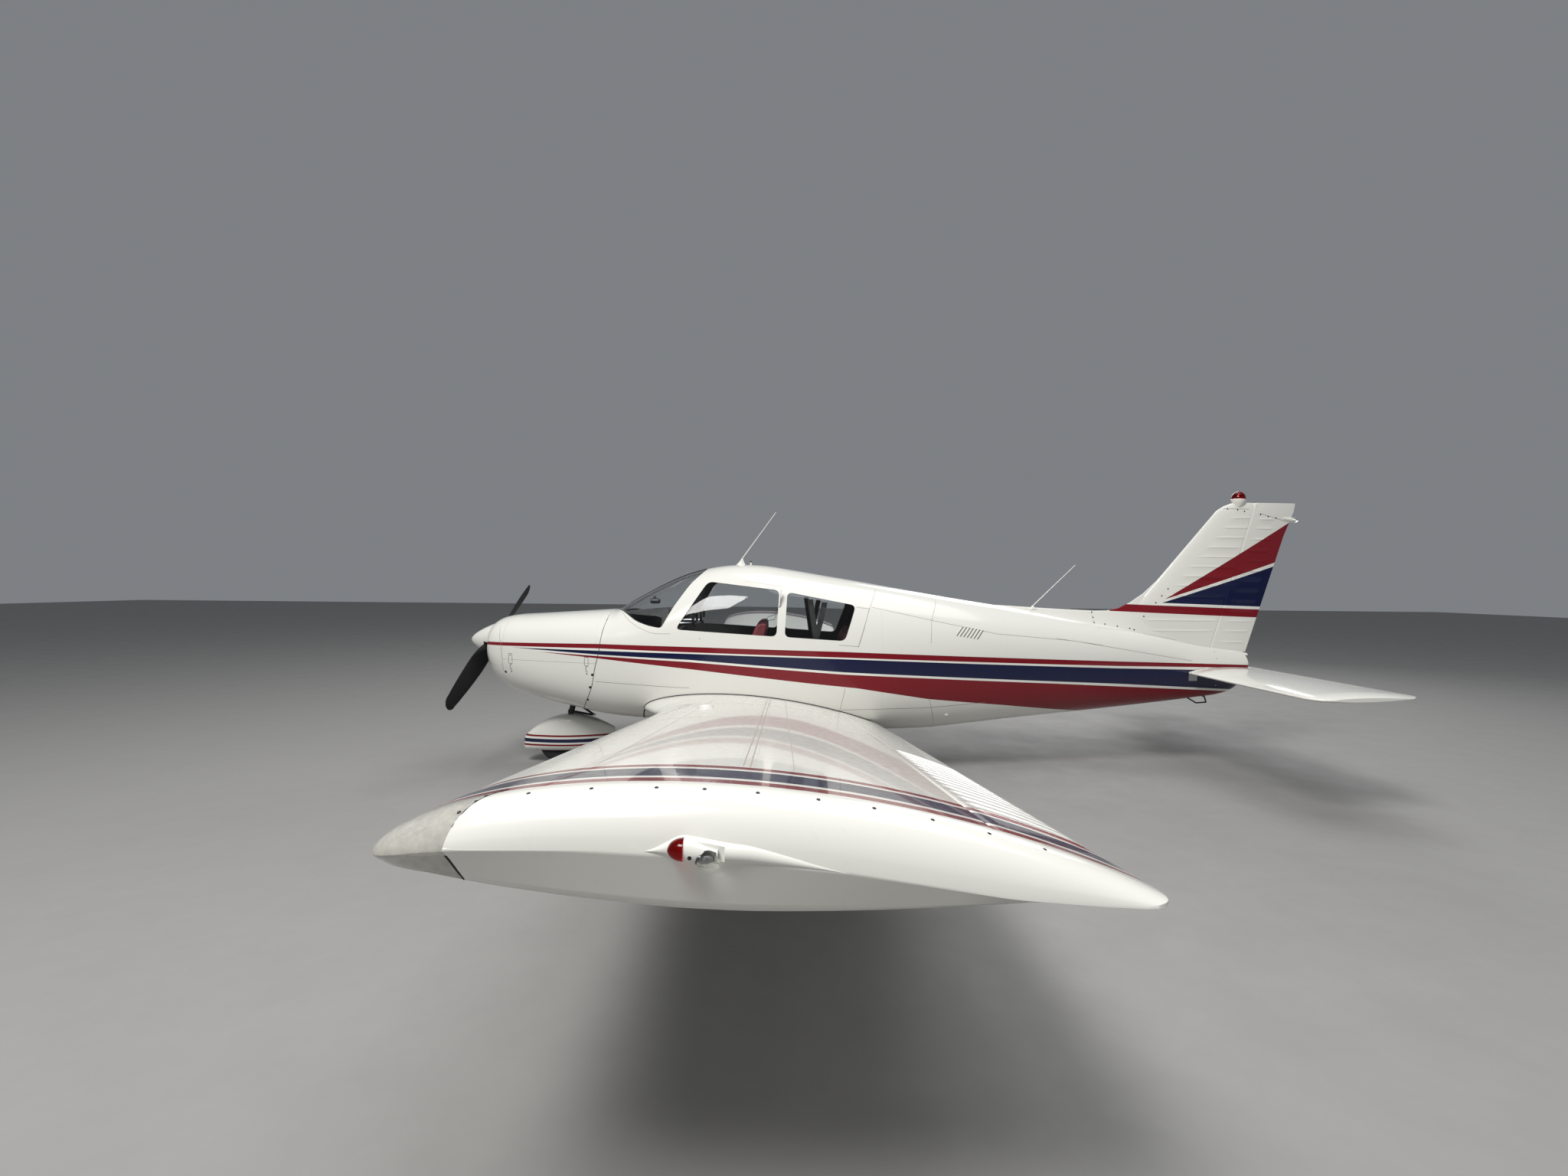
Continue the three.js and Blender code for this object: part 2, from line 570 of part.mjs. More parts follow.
// Fin and rudder together in level slices, with ridges across a share of the chord.
function finSolid({ heights, from, to }) {
  const edges = heights.flatMap((z) => [z - BEAD.half, z, z + BEAD.half]);
  const levels = [...FIN_ROWS.map((row) => row.z), ...edges].sort((a, b) => a - b);
  return solidFrom(loft(levels.map((z) => {
    const { leading, trailing } = finEdges(z);
    const rise = heights.includes(z) ? BEAD.rise : 0;
    return aerofoil(TAIL_THICK, 0, 9).map(([x, y]) => {
      const out = x > from && x < to ? Math.sign(y) * rise : 0;
      return new THREE.Vector3(leading + x * (trailing - leading), y * (trailing - leading) + out, z);
    });
  })));
}
function finEdges(z) {
  const next = Math.max(1, FIN_ROWS.findIndex((row) => row.z >= z));
  const [a, b] = [FIN_ROWS[next - 1], FIN_ROWS[next]];
  const share = (z - a.z) / (b.z - a.z);
  return {
    leading: a.leading + share * (b.leading - a.leading),
    trailing: a.trailing + share * (b.trailing - a.trailing),
  };
}
const finSkin = finSolid(FIN_BEADS);
const rudderSkin = finSolid(RUDDER_BEADS);
const RUDDER_NOSE = { low: 38, high: 29 };
const HINGE_LOW = 1020;
const HINGE_HIGH = 2270;
const hingeBar = (z0, z1, r0, r1 = r0) => bar([hingeX(z0), 0, z0], [hingeX(z1), 0, z1], r0, r1, 20);
// Two hinges in the rudder's nose, each a gap round a pin that an arm from the fin carries.
const RUDDER_HINGE_HEIGHTS = [1330, 1960];
const hingeGap = (z) => hingeBar(z - 15, z + 15, RUDDER_NOSE.low + 3);
const hingeArm = (z) => join(
  hingeBar(z - 15 + SEAT, z + 15 - SEAT, 7),
  bar([hingeX(z), 0, z], [hingeX(z) - 75, 0, z + 75 * HINGE_LEAN], 8, 8, 10),
);
const BEHIND_HINGE = [[hingeX(900), 900], [hingeX(2400), 2400], [7400, 2400], [7400, 900]];
const behindHinge = sidePlate(BEHIND_HINGE, -200, 200);
const DORSAL_ROWS = table(["station", "ridge", "base", "half"], [
  [4470, 1386, 1330, 6], [4811, 1366, 1290, 26], [5044, 1354, 1250, 40], [5368, 1342, 1190, 55],
  [5476, 1344, 1170, 58], [5576, 1365, 1150, 58], [5676, 1415, 1130, 56], [5790, 1495, 1110, 52],
  [5904, 1603, 1090, 48], [6045, 1765, 1070, 40],
]);
const RIDGE_HALF = 15;
const dorsal = solidFrom(loft(DORSAL_ROWS.map(({ station, ridge, base, half }) => {
  const heights = [0, 0.15, 0.35, 0.6, 0.85, 0.96];
  const out = (s) => half * (1 - s) ** 1.6 + RIDGE_HALF * Math.sqrt(1 - s * s);
  const at = (s, side) => new THREE.Vector3(station, side * out(s), base + s * (ridge - base));
  const down = heights.slice().reverse();
  return [...heights.map((s) => at(s, 1)), at(1, 0), ...down.map((s) => at(s, -1))];
})));
place("fin", join(
  cut(
    join(dorsal, cut(finSkin, behindHinge)),
    hingeBar(HINGE_LOW - 30, 2400, RUDDER_NOSE.low + CLEAR + 1, RUDDER_NOSE.high + CLEAR - 1),
    coneOuter,
  ),
  ...RUDDER_HINGE_HEIGHTS.map(hingeArm),
), WHITE, [0, 0, SEAT]);
place("rudder", cut(
  join(
    rudderSkin.intersect(behindHinge),
    hingeBar(HINGE_LOW, HINGE_HIGH, RUDDER_NOSE.low, RUDDER_NOSE.high),
  ),
  bodySolid(6000, CONE_END, -3 * CLEAR),
  ...RUDDER_HINGE_HEIGHTS.map(hingeGap),
), WHITE, [0, 0, SEAT]);
place("beacon", join(
  bar([6600, 0, 2250], [6609, 0, 2312], 40, 34),
  ball([6609, 0, 2312], [54, 54, 80], 12),
).subtract(box(6400, 6800, -200, 200, 2000, 2284 + SEAT * 2)), RED_LENS);
place("tail_light", cut(ball([7090, 0, 2140], [37, 14, 22], 8), rudderSkin), CLEAR_LENS, [SEAT, 0, SEAT]);

// Wings, each built flat and then turned up by the dihedral.
const lineZ = (station) => WING_LE_Z - ((station - WING_LE) * WING_DROP) / WING_CHORD;
const WING_TE = WING_LE + WING_CHORD;
const WING_ROWS = table(["span", "leading"], [
  [430, 1582], [560, 1600], [700, 1655], [950, 1762], [1250, WING_LE], [AILERON_OUT, WING_LE],
]);
// How far washout lowers the skin: nothing behind the hinge line, most at the leading edge of the tip.
const washout = (station, span) => {
  const fore = Math.max(0, (HINGE_STATION - station) / (HINGE_STATION - WING_LE));
  const out = Math.max(0, (span - WASHOUT.from) / (WASHOUT.to - WASHOUT.from));
  return WASHOUT.drop * out * fore ** 1.3;
};
const wingRing = ({ span, leading }) =>
  aerofoil(WING_THICK, WING_CAMBER).map(([x, z]) => {
    const station = leading + x * (WING_TE - leading);
    return new THREE.Vector3(station, span, lineZ(station) + z * WING_CHORD - washout(station, span));
  });
const wingSkin = solidFrom(loft(WING_ROWS.map(wingRing)));
const hingeShare = (HINGE_STATION - WING_LE) / WING_CHORD;
const HINGE_Z = lineZ(HINGE_STATION) + WING_CAMBER * camberLine(hingeShare) * WING_CHORD;
const NOSE_RADIUS = halfThickness(hingeShare) * (WING_THICK / 0.2) * WING_CHORD - 1;
const hingeRod = (radius, from, to) =>
  bar([HINGE_STATION, from, HINGE_Z], [HINGE_STATION, to, HINGE_Z], radius, radius, 20);
const behindSpar = (from, to) => box(HINGE_STATION, WING_TE + 60, from, to, 200, 700);
const surface = (from, to) => join(wingSkin.intersect(behindSpar(from, to)), hingeRod(NOSE_RADIUS, from, to));
const notch = (from, to) => join(behindSpar(from, to), hingeRod(NOSE_RADIUS + CLEAR, from, to));
const raise = (geometry) =>
  geometry.translate(0, 0, -WING_PIVOT_Z).rotateX(DIHEDRAL).translate(0, 0, WING_PIVOT_Z);
const raised = (solid) => solidFrom(raise(geometryFrom(solid)));
const PIN_RADIUS = 8;

const wingBody = raised(join(
  cut(wingSkin, notch(FLAP_IN - CLEAR, AILERON_OUT + 10)),
  hingeRod(PIN_RADIUS, FLAP_IN - CLEAR - 2, FLAP_IN - SEAT),
));
placePair("wing", wingBody, WHITE, [0, SEAT, 0], [cabinOuter, coneOuter]);
placePair("flap", raised(surface(FLAP_IN, FLAP_OUT - CLEAR / 2)), WHITE, [0, SEAT, 0]);
// Ridges run along the chord on both faces of each aileron, as far as the painted bands.
const RIDGES = { first: FLAP_OUT + 60, count: 15, from: HINGE_STATION + 45, to: WING_TE - 40, radius: 9 };
const skinZ = (station, side) => {
  const x = (station - WING_LE) / WING_CHORD;
  const share = WING_CAMBER * camberLine(x) + (side * halfThickness(x) * WING_THICK) / 0.2;
  return lineZ(station) + WING_CHORD * share;
};
const ridge = (span, side) => {
  const end = (station) => [station, span, skinZ(station, side) - side * (RIDGES.radius - BEAD.rise)];
  return bar(end(RIDGES.from), end(RIDGES.to), RIDGES.radius, RIDGES.radius, 4);
};
const ridgeSpans = Array.from({ length: RIDGES.count }, (_, i) => RIDGES.first + i * BEAD.pitch);
placePair("aileron", raised(join(
  surface(FLAP_OUT + CLEAR / 2, AILERON_OUT - CLEAR),
  ...ridgeSpans.flatMap((span) => [ridge(span, 1), ridge(span, -1)]),
)), WHITE, [0, SEAT, 0]);

// Wing tip: the top skin rolls down to an outer edge, with a steep undercut face below it.
const UNDERCUT_FROM = 0.55;
const TIP_EDGE = table(["station", "height"], [
  [1839, 452], [1900, 468], [2010, 475], [2250, 473], [2450, 464], [2620, 450], [2800, 434],
  [2980, 408], [3121, 388], [3300, 376], [3445, 370],
]);
function tipEdge(station) {
  const next = Math.max(1, TIP_EDGE.findIndex((row) => row.station >= station));
  const [a, b] = [TIP_EDGE[next - 1], TIP_EDGE[next]];
  return a.height + ((b.height - a.height) * (station - a.station)) / (b.station - a.station);
}
function tipRing(v) {
  const leading = WING_LE + 4 * v + 165 * (1 - Math.sqrt(1 - v ** 3));
  const trailing = WING_TE + 2 * v - 64 * (1 - Math.sqrt(1 - v ** 5));
  const span = AILERON_OUT + SEAT + v * (TIP_OUT - AILERON_OUT - SEAT);
  return aerofoil(WING_THICK, WING_CAMBER).map(([x, z], i) => {
    const station = leading + x * (trailing - leading);
    const skin = lineZ(station) + z * WING_CHORD - washout(station, span);
    const edge = tipEdge(station);
    const top = i <= 12;
    const under = Math.max(0, (v - UNDERCUT_FROM) / (1 - UNDERCUT_FROM));
    const rolled = edge + (skin - edge) * Math.sqrt(1 - v ** 2.2) + 2 * v;
    return new THREE.Vector3(station, span, top ? rolled : skin + (edge - 2 - skin) * under);
  });
}
const tipSkin = solidFrom(loft([0, 0.3, UNDERCUT_FROM, 0.75, 0.9, 1].map(tipRing)));
const LIGHT_STATION = 2490;
const lightFairing = ball([LIGHT_STATION, TIP_OUT - 18, lineZ(LIGHT_STATION) + 23], [130, 38, 30], 12);
const LENS_JOINT = [
  [1700, 4400], [2078, 4400], [2078, 4470], [LENS_STATION, 4616], [LENS_STATION, 4700], [1700, 4700],
];
const lensRegion = (gap) => topPlate(LENS_JOINT.map(([x, y]) => [x > 1700 ? x - gap : x, y]), 200, 700);
const lightBase = [LIGHT_STATION + 5, TIP_OUT + 14, lineZ(LIGHT_STATION) + 24];
const lightRoom = box(LIGHT_STATION - 52, LIGHT_STATION + 67, TIP_OUT + 8, TIP_OUT + 60, 300, 600);
placePair("wing_tip", raised(join(
  cut(join(tipSkin, lightFairing), lensRegion(0), lightRoom),
  hingeRod(PIN_RADIUS, AILERON_OUT - CLEAR + SEAT, AILERON_OUT + 20),
)), WHITE, [0, SEAT, 0]);
placePair("tip_lens", raised(tipSkin.intersect(lensRegion(SEAT))), CLEAR_LENS, [0, SEAT, 0]);
placePair("nav_light", raised(join(
  ball([lightBase[0] - 26, lightBase[1], lightBase[2] + 4], [15, 24, 20], 8),
  ball([lightBase[0] + 30, lightBase[1], lightBase[2] - 4], [24, 24, 18], 8),
  box(lightBase[0] - 30, lightBase[0] + 34, TIP_OUT + 8.3, TIP_OUT + 16, lightBase[2] - 8, lightBase[2] + 8),
).subtract(box(2300, 2700, 4400, TIP_OUT + 8.3, 300, 600))), [RED_LENS, GREEN_LENS], [0, SEAT, 0]);

// Wheels turn on their own axles. A tyre is a ring with rounded shoulders.
const WHEEL_SIDES = 24;
function tyre(radius, halfWidth, rim, [x, y, z]) {
  const outline = [
    [rim + SEAT, -halfWidth * 0.74], [(rim + radius) / 2, -halfWidth],
    [radius * 0.91, -halfWidth * 0.84], [radius * 0.98, -halfWidth * 0.5], [radius, 0],
    [radius * 0.98, halfWidth * 0.5], [radius * 0.91, halfWidth * 0.84], [(rim + radius) / 2, halfWidth],
    [rim + SEAT, halfWidth * 0.74], [rim + SEAT, -halfWidth * 0.74],
  ].map(([r, along]) => new THREE.Vector2(r, along));
  return solidFrom(new THREE.LatheGeometry(outline, WHEEL_SIDES).translate(x, y, z));
}

function hub(rim, halfWidth, [x, y, z]) {
  const along = (share) => [x, y + share * halfWidth, z];
  const wheel = bar(along(-0.72), along(0.72), rim, rim, WHEEL_SIDES);
  const dish = (side) => bar(along(side * 0.4), along(side), rim - 14, rim - 14, 20);
  const bore = bar(along(-2), along(2), AXLE_RADIUS + 0.9, AXLE_RADIUS + 0.9, 20);
  return cut(wheel, dish(1), dish(-1), bore);
}

// A wheel fairing: a hollow teardrop open below. Rows run aft of the axle.
function pant(rows, [x, y, z], wall, opening) {
  const skin = (inset) =>
    solidFrom(loft(rows.filter((r) => inset === 0 || r.half > inset * 3).map(({ aft, half, top, bottom }) =>
      Array.from({ length: 14 }, (_, k) => {
        const angle = (2 * Math.PI * k) / 14;
        const round = (value) => Math.sign(value) * Math.abs(value) ** 0.6;
        const middle = (top + bottom) / 2;
        return new THREE.Vector3(
          x + aft,
          y + round(Math.cos(angle)) * (half - inset),
          middle + round(Math.sin(angle)) * ((top - bottom) / 2 - inset),
        );
      }))));
  const [long, wide] = opening;
  return cut(skin(0), skin(wall), box(x - long, x + long, y - wide, y + wide, 0, z - 20));
}

const PANT_COLUMNS = ["aft", "half", "top", "bottom"];
const MAIN_PANT_ROWS = table(PANT_COLUMNS, [
  [-352, 12, 262, 222], [-335, 52, 305, 180], [-270, 98, 372, 142], [-160, 128, 438, 124], [0, 144, 474, 120],
  [150, 138, 480, 124], [290, 116, 455, 140], [420, 80, 408, 176], [520, 40, 362, 226], [572, 10, 330, 262],
]);
const NOSE_PANT_ROWS = table(PANT_COLUMNS, [
  [-315, 12, 182, 138], [-298, 52, 222, 116], [-245, 86, 280, 106], [-150, 108, 346, 102],
  [-30, 124, 392, 102], [90, 123, 412, 104], [210, 102, 400, 112], [320, 66, 366, 142],
  [410, 34, 328, 192], [462, 10, 300, 240],
]);

const mainWheel = [MAIN_STATION, MAIN_HALF_TREAD, TYRE_RADIUS];
placePair("main_tyre", tyre(TYRE_RADIUS, TYRE_HALF_WIDTH, RIM_RADIUS, mainWheel), RUBBER);
placePair("main_hub", hub(RIM_RADIUS, TYRE_HALF_WIDTH, mainWheel), ALLOY);
const STRUT_TOP = 640;
const MAIN_STRUT_RADIUS = 30;
const strutPoint = (z) => [MAIN_STATION, MAIN_STRUT_Y, z];
const axle = (y0, y1, radius = AXLE_RADIUS) =>
  bar([MAIN_STATION, y0, TYRE_RADIUS], [MAIN_STATION, y1, TYRE_RADIUS], radius);
placePair("main_leg", cut(
  join(
    bar(strutPoint(500), strutPoint(STRUT_TOP), 46, 75),
    bar(strutPoint(330), strutPoint(STRUT_TOP), MAIN_STRUT_RADIUS),
    bar(strutPoint(200), strutPoint(340), MAIN_STRUT_RADIUS - 6),
    axle(MAIN_STRUT_Y, MAIN_HALF_TREAD + TYRE_HALF_WIDTH - 20),
    axle(MAIN_STRUT_Y, MAIN_HALF_TREAD - TYRE_HALF_WIDTH * 0.72 - SEAT * 2, 26),
  ),
  wingBody,
), ALLOY, [0, 0, -SEAT]);
const PANT_WALL = 6;
const MAIN_PANT_Y = 1492;
placePair("main_pant", cut(
  pant(MAIN_PANT_ROWS, [MAIN_STATION, MAIN_PANT_Y, TYRE_RADIUS], PANT_WALL, [215, 128]),
  bar(strutPoint(330), strutPoint(700), MAIN_STRUT_RADIUS + 0.5),
), WHITE);

// Nose gear: the strut is held in the cowl; fork, fairing and wheel steer with the rudder.
const steerPoint = (z) => [STEER_STATION + (z - NOSE_TYRE_RADIUS) * STEER_LEAN, 0, z];
const noseWheel = [NOSE_AXLE_STATION, 0, NOSE_TYRE_RADIUS];
place("nose_tyre", tyre(NOSE_TYRE_RADIUS, NOSE_TYRE_HALF_WIDTH, NOSE_RIM_RADIUS, noseWheel), RUBBER);
place("nose_hub", hub(NOSE_RIM_RADIUS, NOSE_TYRE_HALF_WIDTH, noseWheel), ALLOY);
place("nose_strut", join(
  bar(steerPoint(520), steerPoint(735), 34),
  box(900, FIREWALL_STATION, -24, 24, 660, 720),
  box(1100, FIREWALL_STATION, -120, 120, 640, 740),
), STEEL);
const FORK_Y = NOSE_TYRE_HALF_WIDTH + 16;
const CROWN_Z = 372;
const crownX = steerPoint(CROWN_Z)[0];
const noseAxle = (y) => [NOSE_AXLE_STATION, y, NOSE_TYRE_RADIUS];
const forkBlade = (side) => join(
  bar(noseAxle(side * (FORK_Y - 6)), noseAxle(side * (FORK_Y + 6)), 26, 26, 16),
  bar(noseAxle(side * FORK_Y), [crownX, side * (FORK_Y - 2), CROWN_Z], 9, 9, 8),
  bar([crownX, side * (FORK_Y + 4), CROWN_Z], [crownX, 0, CROWN_Z], 9, 9, 8),
);
const LINK_APEX = [1045, 0, 426];
const linkFoot = (z) => [steerPoint(z)[0] + 15, 0, z];
const torqueLink = join(
  bar(linkFoot(434), LINK_APEX, 12, 8, 8),
  bar(linkFoot(505), LINK_APEX, 12, 8, 8),
  bar([LINK_APEX[0], -20, LINK_APEX[2]], [LINK_APEX[0], 20, LINK_APEX[2]], 11, 11, 8),
);
place("nose_fork", join(
  bar(steerPoint(CROWN_Z), steerPoint(520 - SEAT * 2), NOSE_STRUT_RADIUS),
  torqueLink,
  forkBlade(1),
  forkBlade(-1),
  bar(noseAxle(-FORK_Y), noseAxle(FORK_Y), AXLE_RADIUS),
), STEEL);
place("nose_pant", cut(
  pant(NOSE_PANT_ROWS, noseWheel, PANT_WALL, [185, 78]),
  bar(steerPoint(380), steerPoint(560), NOSE_STRUT_RADIUS + 0.5),
), WHITE);

// Propeller of two twisted blades, and the spinner over its hub.
const bladeRows = table(["radius", "chord", "thick", "pitch"], [
  [40, 78, 46, 60], [120, 92, 32, 48], [200, 118, 24, 40], [330, 142, 17, 31],
  [520, 146, 12, 22], [700, 132, 9, 17.5], [840, 110, 7, 15], [915, 84, 5, 14], [PROP_RADIUS, 40, 3, 14],
]);
const bladeRing = ({ radius, chord, thick, pitch }) =>
  Array.from({ length: 10 }, (_, k) => {
    const angle = (2 * Math.PI * k) / 10;
    const across = (Math.cos(angle) * chord) / 2;
    const deep = (Math.sin(angle) * thick) / 2;
    const twist = radians(pitch);
    return new THREE.Vector3(
      PROP_STATION + across * Math.sin(twist) + deep * Math.cos(twist),
      radius,
      across * Math.cos(twist) - deep * Math.sin(twist),
    );
  });
const blade = (turn) => {
  const geometry = loft(bladeRows.map(bladeRing));
  return solidFrom(geometry.rotateX(turn).translate(0, 0, THRUST_Z));
};
const blades = join(blade(PROP_TILT), blade(PROP_TILT + Math.PI));
place("propeller", join(
  blades,
  bar([PROP_STATION - 42, 0, THRUST_Z], [PROP_STATION + 45, 0, THRUST_Z], 72, 72, 32),
  bar([PROP_STATION + 20, 0, THRUST_Z], [262 - SEAT, 0, THRUST_Z], 42),
), BLACK);
const spinnerOutline = [0, 0.02, 0.08, 0.2, 0.38, 0.6, 0.8, 1].map((share) =>
  new THREE.Vector2(SPINNER_RADIUS * Math.sqrt(1 - (1 - share) ** 1.75), -share * SPINNER_BACK));
const spinnerBody = solidFrom(new THREE.LatheGeometry(
  [...spinnerOutline, new THREE.Vector2(0, -SPINNER_BACK)], 28,
).rotateZ(Math.PI / 2).translate(0, 0, THRUST_Z));
const bladeSlot = (turn) =>
  solidFrom(new THREE.BoxGeometry(84, 260, 92).translate(PROP_STATION, 170, 0)
    .rotateX(turn).translate(0, 0, THRUST_Z));
place("spinner", cut(
  spinnerBody,
  bar([PROP_STATION - 42 - SEAT, 0, THRUST_Z], [400, 0, THRUST_Z], 72 + SEAT * 2, 72 + SEAT * 2, 32),
  bladeSlot(PROP_TILT),
  bladeSlot(PROP_TILT + Math.PI),
), WHITE);

// Aerials, pitot mast and boarding step
const whip = (from, to, radius) => join(
  bar(from, to, radius, radius * 0.6, 8),
  bar([from[0], 0, from[2] - 40], [from[0] + 4, 0, from[2] + 14], 16, 9, 12),
);
place("comm_antenna", cut(whip([2304, 0, 1712], [2615, 0, 2165], 4), cabinOuter), WHITE, [0, 0, SEAT]);
const navWhip = cut(whip([4835, 0, 1372], [5205, 0, 1735], 4), join(dorsal, coneOuter));
place("nav_antenna", navWhip, WHITE, [0, 0, SEAT * 3]);
const PITOT = { station: 2260, y: -2420, reach: 180 };
const pitotTop = WING_PIVOT_Z - PITOT.y * Math.tan(DIHEDRAL);
const pitotTube = (aft) => [PITOT.station + aft, PITOT.y, pitotTop - PITOT.reach];
const pitotBlade = box(
  PITOT.station - 22, PITOT.station + 22, PITOT.y - 7, PITOT.y + 7, pitotTop - PITOT.reach - 10, pitotTop,
);
place("pitot_mast", cut(
  join(pitotBlade, bar(pitotTube(-70), pitotTube(10), 10, 10, 12)),
  mirrorY(wingBody),
), WHITE, [0, 0, -SEAT]);
place("boarding_step", cut(join(
  bar([3530, 330, 520], [3590, 500, 268], 12, 12, 10),
  box(3545, 3640, 460, 560, 262, 274),
), cabinOuter, coneOuter), STEEL, [0, SEAT, 0]);

aircraft.position.x = -LENGTH / 2;
export default aircraft;
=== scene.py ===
"""Looks of a parked light aircraft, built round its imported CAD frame.

Shapes are worked out in millimetres, with stations counted aft of the spinner's tip, Y towards the right wing
and Z up from the ground. metres() turns them into the frame that every object here shares.
"""
import math
import bmesh
import bpy
import numpy as np
from mathutils import Matrix, Vector
from mathutils.bvhtree import BVHTree
from mathutils.interpolate import poly_3d_calc


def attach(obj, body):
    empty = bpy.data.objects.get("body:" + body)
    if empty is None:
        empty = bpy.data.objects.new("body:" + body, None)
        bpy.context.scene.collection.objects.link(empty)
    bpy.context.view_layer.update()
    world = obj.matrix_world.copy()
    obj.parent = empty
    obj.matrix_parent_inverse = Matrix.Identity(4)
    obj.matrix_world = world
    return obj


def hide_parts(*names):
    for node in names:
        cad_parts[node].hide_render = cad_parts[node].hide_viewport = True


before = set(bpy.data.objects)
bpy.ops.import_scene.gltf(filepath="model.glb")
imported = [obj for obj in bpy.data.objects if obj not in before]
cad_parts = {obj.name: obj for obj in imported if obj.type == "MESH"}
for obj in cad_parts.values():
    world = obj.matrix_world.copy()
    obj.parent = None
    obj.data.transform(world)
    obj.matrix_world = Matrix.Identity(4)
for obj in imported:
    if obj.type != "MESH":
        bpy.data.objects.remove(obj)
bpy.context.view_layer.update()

MIDDLE_STATION = 3563.5  # the station that lies over the frame's origin
RIGHT, LEFT = 1, -1
SIDES = {"right": RIGHT, "left": LEFT}


def metres(points):
    return (np.asarray(points, float) - (MIDDLE_STATION, 0, 0)) / 1000


# Camera: its place and angles were solved from the photograph against the aircraft's known sizes.
CAMERA_PLACE = (2662, -5893, 1557)
CAMERA_YAW, CAMERA_PITCH, CAMERA_ROLL = 0.0041, -0.0077, 0.0096
FOCAL_PIXELS, PHOTO_WIDTH, SENSOR_WIDTH = 891.9, 2048, 36


def linked(name, data):
    """A new object of the scene that carries data."""
    made = bpy.data.objects.new(name, data)
    bpy.context.scene.collection.objects.link(made)
    return made


def add_camera():
    data = bpy.data.cameras.new("camera")
    data.sensor_width = SENSOR_WIDTH
    data.lens = FOCAL_PIXELS / PHOTO_WIDTH * SENSOR_WIDTH
    data.clip_end = 200
    camera = linked("camera", data)
    sin_yaw, cos_yaw, cos_pitch = math.sin(CAMERA_YAW), math.cos(CAMERA_YAW), math.cos(CAMERA_PITCH)
    forward = Vector((sin_yaw * cos_pitch, cos_yaw * cos_pitch, math.sin(CAMERA_PITCH)))
    level = Vector((cos_yaw, -sin_yaw, 0))
    upright = level.cross(forward)
    right = level * math.cos(CAMERA_ROLL) + upright * math.sin(CAMERA_ROLL)
    up = upright * math.cos(CAMERA_ROLL) - level * math.sin(CAMERA_ROLL)
    turn = Matrix((right, up, -forward)).transposed().to_4x4()
    camera.matrix_world = Matrix.Translation(metres(CAMERA_PLACE)) @ turn
    bpy.context.scene.camera = camera


add_camera()

# Materials


class Graph:
    """Short calls that build one material's nodes."""

    def __init__(self, name, **settings):
        self.material = bpy.data.materials.new(name)
        self.material.use_nodes = True
        self.tree = self.material.node_tree
        self.shader = self.tree.nodes["Principled BSDF"]
        self.place = self.node("ShaderNodeTexCoord").outputs["Object"]
        for key, value in settings.items():
            self.set(key.replace("_", " "), value)

    def node(self, kind, **fields):
        made = self.tree.nodes.new(kind)
        for key, value in fields.items():
            setattr(made, key, value)
        return made

    def feed(self, socket, value):
        if isinstance(value, bpy.types.NodeSocket):
            self.tree.links.new(value, socket)
        elif isinstance(value, tuple) and len(value) == 3 and len(socket.default_value) == 4:
            socket.default_value = (*value, 1)
        else:
            socket.default_value = value

    def set(self, name, value):
        self.feed(self.shader.inputs[name], value)

    def math(self, operation, *values):
        made = self.node("ShaderNodeMath", operation=operation)
        for socket, value in zip(made.inputs, values):
            self.feed(socket, value)
        return made.outputs[0]

    def mix(self, share, first, second):
        made = self.node("ShaderNodeMix", data_type="RGBA")
        self.feed(made.inputs[0], share)
        self.feed(made.inputs[6], first)
        self.feed(made.inputs[7], second)
        return made.outputs[2]

    def axes(self):
        made = self.node("ShaderNodeSeparateXYZ")
        self.feed(made.inputs[0], self.place)
        return made.outputs

    def noise(self, scale, detail, roughness=0.5):
        made = self.node("ShaderNodeTexNoise")
        fields = {"Vector": self.place, "Scale": scale, "Detail": detail, "Roughness": roughness}
        for key, value in fields.items():
            self.feed(made.inputs[key], value)
        return made.outputs[0]

    def remap(self, value, low, high, to_low=0.0, to_high=1.0):
        made = self.node("ShaderNodeMapRange")
        for socket, number in zip(made.inputs, (value, low, high, to_low, to_high)):
            self.feed(socket, number)
        return made.outputs[0]

    def curve(self, value, points):
        """The height of a broken line through points, at value."""
        xs, ys = [p[0] for p in points], [p[1] for p in points]
        low, high = min(ys), max(ys)
        rise = max(high - low, 1e-6)
        made = self.node("ShaderNodeFloatCurve")
        line = made.mapping.curves[0]
        while len(line.points) < len(points):
            line.points.new(0.5, 0.5)
        for knot, x, y in zip(line.points, xs, ys):
            knot.location = ((x - xs[0]) / (xs[-1] - xs[0]), (y - low) / rise)
            knot.handle_type = "VECTOR"
        made.mapping.update()
        self.feed(made.inputs["Value"], self.remap(value, xs[0], xs[-1]))
        return self.remap(made.outputs[0], 0, 1, low, low + rise)

    def both(self, first, second):
        return self.math("MULTIPLY", first, second)

    def between(self, value, low, high):
        return self.both(self.math("GREATER_THAN", value, low), self.math("LESS_THAN", value, high))

    def bump(self, height, depth, strength):
        made = self.node("ShaderNodeBump")
        for key, value in {"Height": height, "Distance": depth, "Strength": strength}.items():
            self.feed(made.inputs[key], value)
        return made.outputs[0]


CREAM, DULL_CREAM, BRIGHT = (0.80, 0.795, 0.745), (0.765, 0.76, 0.71), (0.82, 0.81, 0.76)
RED, NAVY, DUST = (0.20, 0.005, 0.012), (0.004, 0.007, 0.045), (0.30, 0.27, 0.22)

